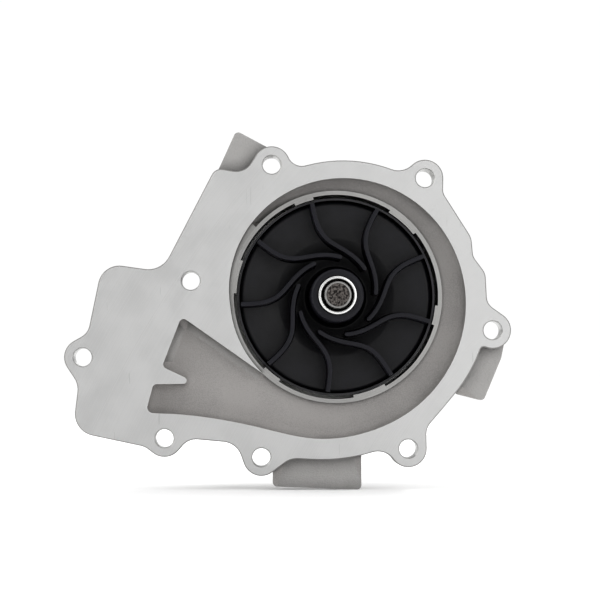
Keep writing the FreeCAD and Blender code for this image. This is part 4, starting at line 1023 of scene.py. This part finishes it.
@dataclass
class Impeller(SubAssembly):
    """The moulded semi-open impeller and the bush in its hub.

    Attributes:
        vanes: number of vanes.
        eye: radius where a vane starts, in millimetres.
        rim: radius where it ends.
        vane_front: depth of the vanes' front edges.
        heading: angle that a vane's middle line runs out towards, in degrees.
        sweep: how far the line lags behind that angle at the eye, in degrees.
        sweep_length: distance over which the lag falls to 1/e.
        bend_start: radius where the line bends back towards the rim.
        bend: how strongly it bends back.
        bend_power: power of the bend's growth with radius.
        half_width: half of a vane's thickness at its front edge.
        draft: how much a side leans out for each millimetre of depth, so that the mould lets go.
        root: radius of the fillet where a vane meets the disc.
        edge: radius of the front edge's rounding.
        shaded_front_depth: depth in front of which the moulding takes a darker copy of its finish, painted
            shade on the vanes' fronts and sides and on the hub's front.
        disc: corners of the disc and hub, as (radius, depth).
        disc_front: first of those corners that the vanes stand on, and the one past the last.
        bush: corners of the bush.
        nose_points: points of a vane's rounded leading edge.
    """

    vanes: int = 9
    eye: float = 15.1
    rim: float = 36.75
    vane_front: float = -3.5
    heading: float = 106.0
    sweep: float = 61.0
    sweep_length: float = 3.2
    bend_start: float = 27.0
    bend: float = 0.06
    bend_power: float = 1.3
    half_width: float = 0.8
    draft: float = 0.008
    root: float = 0.9
    edge: float = 0.22
    shaded_front_depth: float = 5.0
    disc: Corners = (
        (7.3, -13.5), (9.3, -13.5), (10.1, -12.6), (10.4, 11.4), (12.0, 12.9), (14.9, 12.1), (22.7, 10.7),
        (35.9, 10.0), (36.9, 10.4), (36.9, 13.0), (20.4, 13.0), (15.4, 15.0), (7.3, 15.0),
    )
    disc_front: tuple[int, int] = (4, 8)
    bush: Corners = ((6.0, -15.4), (6.3, -16.0), (7.1, -16.0), (7.3, -15.6), (7.3, 15.0), (6.0, 15.0))
    nose_points: int = 8

    def build(self) -> None:
        """Moulds the impeller and turns the bush."""
        shell = Shell().add(turned(eased(self.disc, 0.45), 180), wrap_rows=True)
        moulding = shell.ring(self._vane(), self.vanes).piece("impeller_moulding", 38)
        self.fit(moulding, "impeller", "impeller_plastic", MOULDED_BLACK, MOULDED_SHADED_FRONT)
        # faces in front of the given depth take the darker copy of the finish: painted shade
        depth = face_table(moulding.data)[0][:, 1]
        moulding.data.polygons.foreach_set("material_index", (depth < self.shaded_front_depth).astype(np.int32))
        bush = Shell().add(turned(eased(self.bush, 0.2), 144), wrap_rows=True)
        self.fit(bush.piece("hub_bush"), "impeller_insert", "bright_steel", BUSH_BRIGHT)

    def _path(self) -> tuple[Array, Array]:
        """The middle line of a vane and the direction across it.

        Formula: the angle at radius r is heading - sweep exp(-(r - eye) / sweep length), less
        bend (r - start)^power past the bend's start. So a vane leaves the hub almost along a circle and
        then runs out to the rim. The nose is added in front, straight, and half a thickness long.

        Returns:
            Two arrays, each N by 2, in millimetres.
        """
        stations = 90
        crowding = 1.6
        share = np.linspace(0, 1, stations)
        radius = self.eye + (self.rim - self.eye) * share**crowding
        lag = self.sweep * np.exp(-(radius - self.eye) / self.sweep_length)
        back = self.bend * np.maximum(0.0, radius - self.bend_start) ** self.bend_power
        angle = np.radians(self.heading - lag - back)
        line = np.stack([radius * np.cos(angle), radius * np.sin(angle)], axis=-1)
        along = np.gradient(line, axis=0, edge_order=2)
        along /= np.linalg.norm(along, axis=1, keepdims=True)
        nose = np.linspace(1, 0, self.nose_points, endpoint=False)[:, None] * self.half_width
        line = np.concatenate([line[:1] - along[:1] * nose, line])
        along = np.concatenate([np.repeat(along[:1], len(nose), axis=0), along])
        return line, np.stack([-along[:, 1], along[:, 0]], axis=-1)

    def _vane(self) -> Array:
        """The surface of one vane, buried in the disc and the hub.

        Formula: middle line + across w(b) at depth b. The half width w is the front edge's quarter circle,
        then it grows by the draft, and by a square law over the last fillet radius above the disc. Over the
        nose, w is scaled by a circle, sqrt(1 - t^2).

        Returns:
            Stations by points by 3 grid in metres, closed at both ends.
        """
        buried = 0.4
        root_share = 0.6
        line, across = self._path()
        radius = np.linalg.norm(line, axis=1)
        face_radius, face_depth = np.array(self.disc[slice(*self.disc_front)]).T
        disc_front = np.interp(radius, face_radius, face_depth)[:, None]
        turn = np.linspace(0, math.pi / 2, 5)[None]
        arc_depth = self.vane_front + self.edge * (1 - np.sin(turn[:, ::-1])) + 0 * disc_front
        arc_width = self.half_width - self.edge * (1 - np.cos(turn[:, ::-1])) + 0 * disc_front
        down = np.linspace(0, 1, 14)[None, 1:]
        top = self.vane_front + self.edge
        side_depth = top + (disc_front + buried - top) * down
        into_fillet = np.clip((side_depth - disc_front + self.root) / self.root, 0, 1)
        swell = into_fillet**2 * self.root * root_share
        side_width = self.half_width + self.draft * (side_depth - top) + swell
        depth = np.concatenate([arc_depth, side_depth], axis=1)
        width = np.concatenate([arc_width, side_width], axis=1)
        on_nose = np.arange(len(line)) < self.nose_points
        distance = np.linalg.norm(line - line[self.nose_points], axis=1) * on_nose
        width = width * np.sqrt(np.clip(1 - (distance / self.half_width) ** 2, 0.0, 1))[:, None]
        width = np.concatenate([-width[:, ::-1], width], axis=1)
        depth = np.concatenate([depth[:, ::-1], depth], axis=1)
        flat = line[:, None] + across[:, None] * width[..., None]
        grid = np.stack([flat[..., 0], depth, flat[..., 1]], axis=-1) * MM
        middle = grid.mean(axis=1, keepdims=True)
        ends = [np.broadcast_to(middle[i], (1, *grid.shape[1:])) for i in (0, -1)]
        return np.concatenate([ends[0], grid, ends[1]])


@dataclass
class ShaftAndBearing(SubAssembly):
    """The integral shaft with its two rows of rolling parts.

    Attributes:
        nose: corners of the nose's rim and the seat, as (radius, depth) in millimetres.
        end_depth: depth of the nose's sheared end.
        dimple: how much deeper its middle is.
        lump: height of the lumps on it.
        tail: corners of the tail.
        race_depth: depth of the ball race's middle.
        race: radius of the race's groove.
        pitch: radius of the circle that the balls run on.
        rough_radius: radius inside which the nose's end is rough.
    """

    nose: Corners = (
        (4.2, -20.1), (4.45, -20.5), (4.8, -20.5), (5.1, -20.2), (5.1, -12.0),
        (6.0, -11.4), (6.0, 33.5), (8.0, 34.5),
    )
    end_depth: float = -20.1
    dimple: float = 0.5
    lump: float = 0.2
    tail: Corners = ((8.0, 91.0), (7.0, 92.0), (1.6, 92.0), (0.0, 90.6))
    race_depth: float = 45.0
    race: float = 2.74
    pitch: float = 10.3
    rough_radius: float = 4.3

    def build(self) -> None:
        """Turns the shaft and dresses the bearing."""
        self._shaft()
        self.dress("bearing_outer_ring", BEARING_STEEL)
        self.dress("bearing_balls", BEARING_STEEL)
        self.dress("bearing_rollers", BEARING_STEEL)
        self.dress("ball_cage", CAGE_PLASTIC)
        self.dress("roller_cage", CAGE_PLASTIC)
        self.dress("bearing_lip_seals", RUBBER)

    def _shaft(self) -> None:
        """Turns the shaft from nose to tail, with the ball race between them.

        Formula of the race: radius = pitch - sqrt(race^2 - (depth - race depth)^2).
        """
        journal = self.nose[-1][0]
        reach = math.sqrt(self.race**2 - (self.pitch - journal) ** 2)
        depth = self.race_depth + np.linspace(-reach, reach, 13)
        groove = self.pitch - np.sqrt(self.race**2 - (depth - self.race_depth) ** 2)
        profile = np.concatenate(
            [
                eased(self.nose, 0.22, closed=False),
                np.stack([groove, depth], axis=-1) * MM,
                eased(self.tail, 0.3, closed=False),
            ]
        )
        body = turned(profile, 144)
        whole = np.concatenate([self._sheared_end(body[0]), body])
        shaft = Shell().add(whole).piece("pump_shaft_turned", 30)
        self.fit(shaft, "pump_shaft", "ground_steel", GROUND_STEEL, SAWN_END)
        centres, normals = face_table(shaft.data)
        radius = np.hypot(centres[:, 0], centres[:, 2])
        rough = (radius < self.rough_radius) & (normals[:, 1] < -0.5) & (centres[:, 1] < 0)
        shaft.data.polygons.foreach_set("material_index", rough.astype(np.int32))

    def _sheared_end(self, rim: Array) -> Array:
        """The nose's end, lumpy and dimpled as the shears left it.

        Formula: at a share s of the rim's radius, depth = end depth + dimple (1 - s^2)^4 + lump w L, where
        w = 1 - s^6 and L is the mean of three wave patterns in X and Z whose directions and lengths differ.

        Args:
            rim: the circle of points that the end is bounded by, in metres.

        Returns:
            Rings by columns by 3 grid in metres, from the middle out.
        """
        rings = 24
        share = np.linspace(0, 1, rings, endpoint=False)[:, None, None]
        grid = rim[None] * share
        x, z = grid[..., 0] / MM, grid[..., 2] / MM
        waves = (
            np.sin(3.1 * x + 1.3 * z) * np.cos(2.7 * z - 0.9 * x),
            np.sin(5.3 * z + 0.7 + 2.2 * x),
            np.sin(4.6 * x - 3.4 * z + 1.9),
        )
        share = share[..., 0]
        lumps = self.lump * (1 - share**6) * sum(waves) / len(waves)
        grid[..., 1] = (self.end_depth + self.dimple * (1 - share**2) ** 4 + lumps) * MM
        return grid


@dataclass
class FaceSeal(SubAssembly):
    """The mechanical seal between the impeller and the bearing.

    Attributes:
        turns: turns of its spring.
        wire: radius of the spring's wire, in millimetres.
    """

    turns: int = 5
    wire: float = 0.45

    def build(self) -> None:
        """Dresses the seal's rings and winds its spring."""
        self.dress("seal_cup", SEAL_SHELL)
        self.dress("seal_bellows", RUBBER)
        self.dress("seal_carbon_ring", CARBON)
        self.dress("seal_mating_ring", CERAMIC)
        self.dress("seal_rotor_boot", RUBBER)
        low, high = (np.array(corner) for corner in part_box("seal_spring"))
        mean = (high[0] - low[0]) / 2 - self.wire * MM
        line = helix(mean, self.wire * MM, low[1], high[1], self.turns)
        coil = Shell().add(wire_along(line, self.wire * MM)).piece("seal_spring_coil")
        self.fit(coil, "seal_spring", "spring_steel", SPRING_WIRE)


@dataclass
class VacuumChamber(SubAssembly):
    """The chamber's cover, gasket and screws, its hose nipple, and the weep hole's cap.

    Attributes:
        screws: number of cover screws.
        screw_circle: radius of the circle that they stand on, in millimetres.
        screw: half of a screw, as (radius, depth) from its tip to its socket.
        socket: radius of the socket at its corners.
        socket_depth: how far the socket goes into the head.
        knurls: grooves round the head.
        knurl_share: depth of a groove as a share of the head's radius.
        nipple_angle: where the nipple points, in degrees.
        nipple_depth: depth of the nipple.
        nipple: half of the nipple, as (radius, distance from the shaft).
    """

    screws: int = 6
    screw_circle: float = 45.5
    screw: Corners = (
        (0.0, 54.0), (1.5, 54.0), (2.0, 54.6), (2.0, 67.3),
        (3.6, 67.3), (3.6, 70.7), (3.2, 71.3), (2.0, 71.3),
    )
    socket: float = 1.75
    socket_depth: float = 2.2
    knurls: int = 20
    knurl_share: float = 0.025
    nipple_angle: float = 200.0
    nipple_depth: float = 46.0
    nipple: Corners = (
        (1.2, 42.2), (3.0, 42.2), (3.0, 46.0), (4.5, 46.0), (4.5, 47.5), (2.1, 47.5), (2.1, 52.5),
        (2.6, 53.1), (2.1, 54.6), (2.1, 55.4), (2.6, 56.1), (2.1, 58.9), (1.8, 59.0), (1.2, 59.0),
    )

    def build(self) -> None:
        """Dresses the plates and turns the screws and the nipple."""
        self.dress("chamber_cover", ZINC_SHEET)
        self.dress("cover_gasket", FIBRE)
        self.dress("weep_cap", CAP_PLASTIC)
        screw = about_point(self._socket_screw(), self.screw_circle * MM, 0.0)
        screws = Shell().ring(screw, self.screws).piece("socket_screws", 30)
        self.fit(screws, "cover_screws", "screw_steel", ZINC_SCREW)
        body = turned(eased(self.nipple, 0.18), 64)
        nipple = Shell().add(radially(body, self.nipple_angle, self.nipple_depth * MM), wrap_rows=True)
        self.fit(nipple.piece("hose_nipple", 30), "vacuum_nipple", "brass", TURNED_BRASS)

    def _socket_screw(self) -> Array:
        """A screw with a knurled head and a hexagon socket.

        Formula: the half profile is turned about its axis, and the radius of the head's side is less by
        knurl share (1 - cos(knurls t)) / 2.

        Returns:
            Rows by columns by 3 grid in metres about the shaft's axis.
        """
        steps = 120
        corner, seat_play, side_play = 0.15, 0.3, 0.2
        countersink, drill_point = 0.05, 0.2
        (_, seat), (head, shoulder), (_, top) = self.screw[4:7]
        profile = eased(self.screw, corner, closed=False)
        grid = turned(profile, steps)
        radius, depth = profile.T / MM
        on_head = (depth > seat + seat_play) & (depth < shoulder + side_play) & (radius > head - side_play)
        t = np.linspace(0, FULL_TURN, steps, endpoint=False)
        knurl = 1 - self.knurl_share * on_head[:, None] * (0.5 - 0.5 * np.cos(self.knurls * t))
        grid[..., [0, 2]] *= knurl[..., None]
        floor = self.socket_depth
        level = (top - np.array([0.0, countersink, floor - drill_point, floor, floor]))[:, None] * MM
        scale = np.array([1.04, 1.0, 1.0, 0.9, 0.0])[:, None]
        radius = scale * hexagon_radius(t, self.socket * math.cos(math.pi / 6)) * MM
        hole = np.stack([radius * np.cos(t), level + 0 * t, radius * np.sin(t)], axis=-1)
        return np.concatenate([grid, hole])


@dataclass
class BeltDrive(SubAssembly):
    """The hub on the shaft's tail, the ribbed pulley and its screws.

    Attributes:
        screws: number of hexagon screws.
        screw_circle: radius of the circle that they stand on, in millimetres.
        first_screw: angle of the first screw in degrees.
        head_front: depth of the heads' seat on the pulley's web.
        head: radius of a head at its corners.
        head_height: its height.
        shank: radius of a shank.
        tip: depth of the shanks' ends.
    """

    screws: int = 4
    screw_circle: float = 19.5
    first_screw: float = 45.0
    head_front: float = 85.0
    head: float = 5.77
    head_height: float = 4.0
    shank: float = 3.0
    tip: float = 78.0

    def build(self) -> None:
        """Dresses the hub and pulley and makes the screws."""
        self.dress("pulley_hub", HUB_STEEL)
        self.dress("belt_pulley", COATED_STEEL)
        screw = about_point(self._hexagon_screw(), self.screw_circle * MM, 0.0)
        screws = Shell().ring(screw, self.screws, self.first_screw).piece("hexagon_screws", 25)
        self.fit(screws, "pulley_screws", "screw_steel", ZINC_SCREW)

    def _hexagon_screw(self) -> Array:
        """A hexagon screw with a washer face and a chamfered, slightly dished head.

        Formula: at each level the outline is the smaller of a circle and a hexagon. The chamfer is where
        the circle is the smaller one.

        Returns:
            Rows by columns by 3 grid in metres about the shaft's axis.
        """
        bevel = 0.3
        dish = 0.25
        past_corners = 9.0
        t = np.linspace(0, FULL_TURN, 96, endpoint=False)
        apothem = self.head * math.cos(math.pi / 6)
        seat = self.head_front
        top = seat + self.head_height
        levels = (
            (self.tip, 0.0), (self.tip, self.shank - bevel), (self.tip + bevel, self.shank),
            (seat, self.shank), (seat, apothem - 0.25),
            (seat + bevel, apothem - 0.2), (seat + bevel, apothem - 0.1),
            (seat + 0.4, past_corners), (top - 0.75, past_corners),
            (top - 0.4, self.head - 0.35), (top, apothem - bevel), (top, apothem - 1.3),
            (top - dish, apothem - 1.7), (top - dish, 0.0),
        )
        depth, circle = np.array(levels).T[..., None]
        radius = np.minimum(circle, hexagon_radius(t, apothem))
        return np.stack([radius * np.cos(t), depth + 0 * t, radius * np.sin(t)], axis=-1) * MM


# ---------------------------------------------------------------- studio


@dataclass
class Studio:
    """A wide pale floor, soft light from all round that is dimmer in front, and the camera.

    Attributes:
        floor_radius: radius of the floor, in metres.
        floor_tone: the floor's darkest and lightest tone.
        floor_glow: how much light the floor gives off, which keeps it near white.
        lamps: name, place, size and watts of each soft light.
        front_light: the light's strength straight in front of the impeller.
        side_light: its strength elsewhere.
        low_light: what that is multiplied by below.
        high_light: what it is multiplied by above.
        backdrop: brightness of what is seen past the floor.
        eye: where the camera is.
        target: what it looks at.
        lens: focal length in millimetres, for a sensor 36 mm wide.
    """

    floor_radius: float = 60.0
    floor_tone: tuple = (0.93, 0.96)
    floor_glow: float = 0.08
    lamps: tuple = (
        ("key", (0.75, -1.45, 0.20), 1.3, 9.0),
        ("fill", (-1.40, -0.60, 0.75), 0.9, 5.0),
        ("rear", (0.60, 1.30, 0.95), 0.9, 12.0),
    )
    front_light: float = 0.62
    side_light: float = 1.0
    low_light: float = 0.7
    high_light: float = 1.1
    backdrop: float = 1.02
    eye: Point = (-0.032, -1.04, -0.031)
    target: Point = (-0.0140, 0.0, -0.0014)
    lens: float = 162.5

    def build(self) -> None:
        """Sets up the floor, the light and the camera."""
        bpy.context.scene.view_settings.view_transform = "Standard"
        self._floor()
        self._world()
        for lamp in self.lamps:
            self._light(*lamp)
        self._camera()

    def _floor(self) -> None:
        """The floor: rings of points on a flat disc, further apart as they go out."""
        nearest_ring, rings = 0.3, 12
        ring = np.geomspace(nearest_ring, self.floor_radius, rings)
        radius = np.concatenate([[0.0], ring])[:, None]
        t = np.linspace(0, FULL_TURN, 64, endpoint=False)
        level = CAD_BOX[0][2] + 0 * radius + 0 * t
        grid = np.stack([radius * np.cos(t), radius * np.sin(t), level], axis=-1)
        floor = Shell().add(grid).piece("studio_floor", 60)
        floor.data.materials.append(self._floor_material())

    def _floor_material(self) -> bpy.types.Material:
        """A matt near-white with a slow drift in tone."""
        material = bpy.data.materials.new("pale_floor")
        material.use_nodes = True
        tree = material.node_tree
        where = place(tree, "TexCoord").outputs["Object"]
        speck = place_group(tree, Effect.GRAIN.group(), {"Vector": where, "Scale": 60.0}).outputs["Tone"]
        low, high = self.floor_tone
        tone = place(tree, "MapRange", {"Value": speck, "To Min": low, "To Max": high}).outputs[0]
        shader = tree.nodes["Principled BSDF"]
        tree.links.new(tone, shader.inputs["Base Color"])
        shader.inputs["Roughness"].default_value = 0.9
        shader.inputs["Emission Color"].default_value = (1.0, 1.0, 1.0, 1.0)
        shader.inputs["Emission Strength"].default_value = self.floor_glow
        return material

    def _world(self) -> None:
        """White light, dimmer in front and below. Whatever is seen past the floor is plain white."""
        world = bpy.data.worlds.new("studio_light")
        bpy.context.scene.world = world
        world.use_nodes = True
        tree = world.node_tree
        parts = place(tree, "SeparateXYZ", {0: place(tree, "TexCoord").outputs["Generated"]}).outputs
        front, side = -1.0, -0.45
        below, above = -0.5, 0.7
        inputs = {
            "Value": parts["Y"], "From Min": front, "From Max": side,
            "To Min": self.front_light, "To Max": self.side_light,
        }
        around = place(tree, "MapRange", inputs, interpolation_type="SMOOTHSTEP").outputs[0]
        inputs = {
            "Value": parts["Z"], "From Min": below, "From Max": above,
            "To Min": self.low_light, "To Max": self.high_light,
        }
        height = place(tree, "MapRange", inputs).outputs[0]
        strength = maths(tree, "MULTIPLY", around, height)
        seen = place(tree, "LightPath").outputs["Is Camera Ray"]
        shown = place(tree, "Mix", {"Factor": seen, "A": strength, "B": self.backdrop}).outputs[0]
        background = tree.nodes["Background"]
        background.inputs["Color"].default_value = (1.0, 1.0, 1.0, 1.0)
        tree.links.new(shown, background.inputs["Strength"])

    def _light(self, name: str, where: Point, size: float, watts: float) -> None:
        """A square soft light that points at the pump."""
        data = bpy.data.lights.new(name, "AREA")
        data.size = size
        data.energy = watts
        lamp = bpy.data.objects.new(name, data)
        lamp.location = where
        lamp.rotation_euler = (-Vector(where)).to_track_quat("-Z", "Y").to_euler()
        bpy.context.scene.collection.objects.link(lamp)

    def _camera(self) -> None:
        """The camera in front of the impeller."""
        data = bpy.data.cameras.new("camera")
        data.lens = self.lens
        data.clip_start = 0.05
        camera = bpy.data.objects.new("camera", data)
        camera.location = self.eye
        ahead = Vector(self.target) - Vector(self.eye)
        camera.rotation_euler = ahead.to_track_quat("-Z", "Y").to_euler()
        bpy.context.scene.collection.objects.link(camera)
        bpy.context.scene.camera = camera


def main() -> None:
    """Builds every sub-assembly and the studio."""
    logging.basicConfig(level=logging.INFO, format="%(name)s: %(message)s")
    for part in (CoverCasting, RingShutter, Impeller, ShaftAndBearing, FaceSeal, VacuumChamber, BeltDrive):
        part().build()
    Studio().build()


if __name__ == "__main__":
    main()
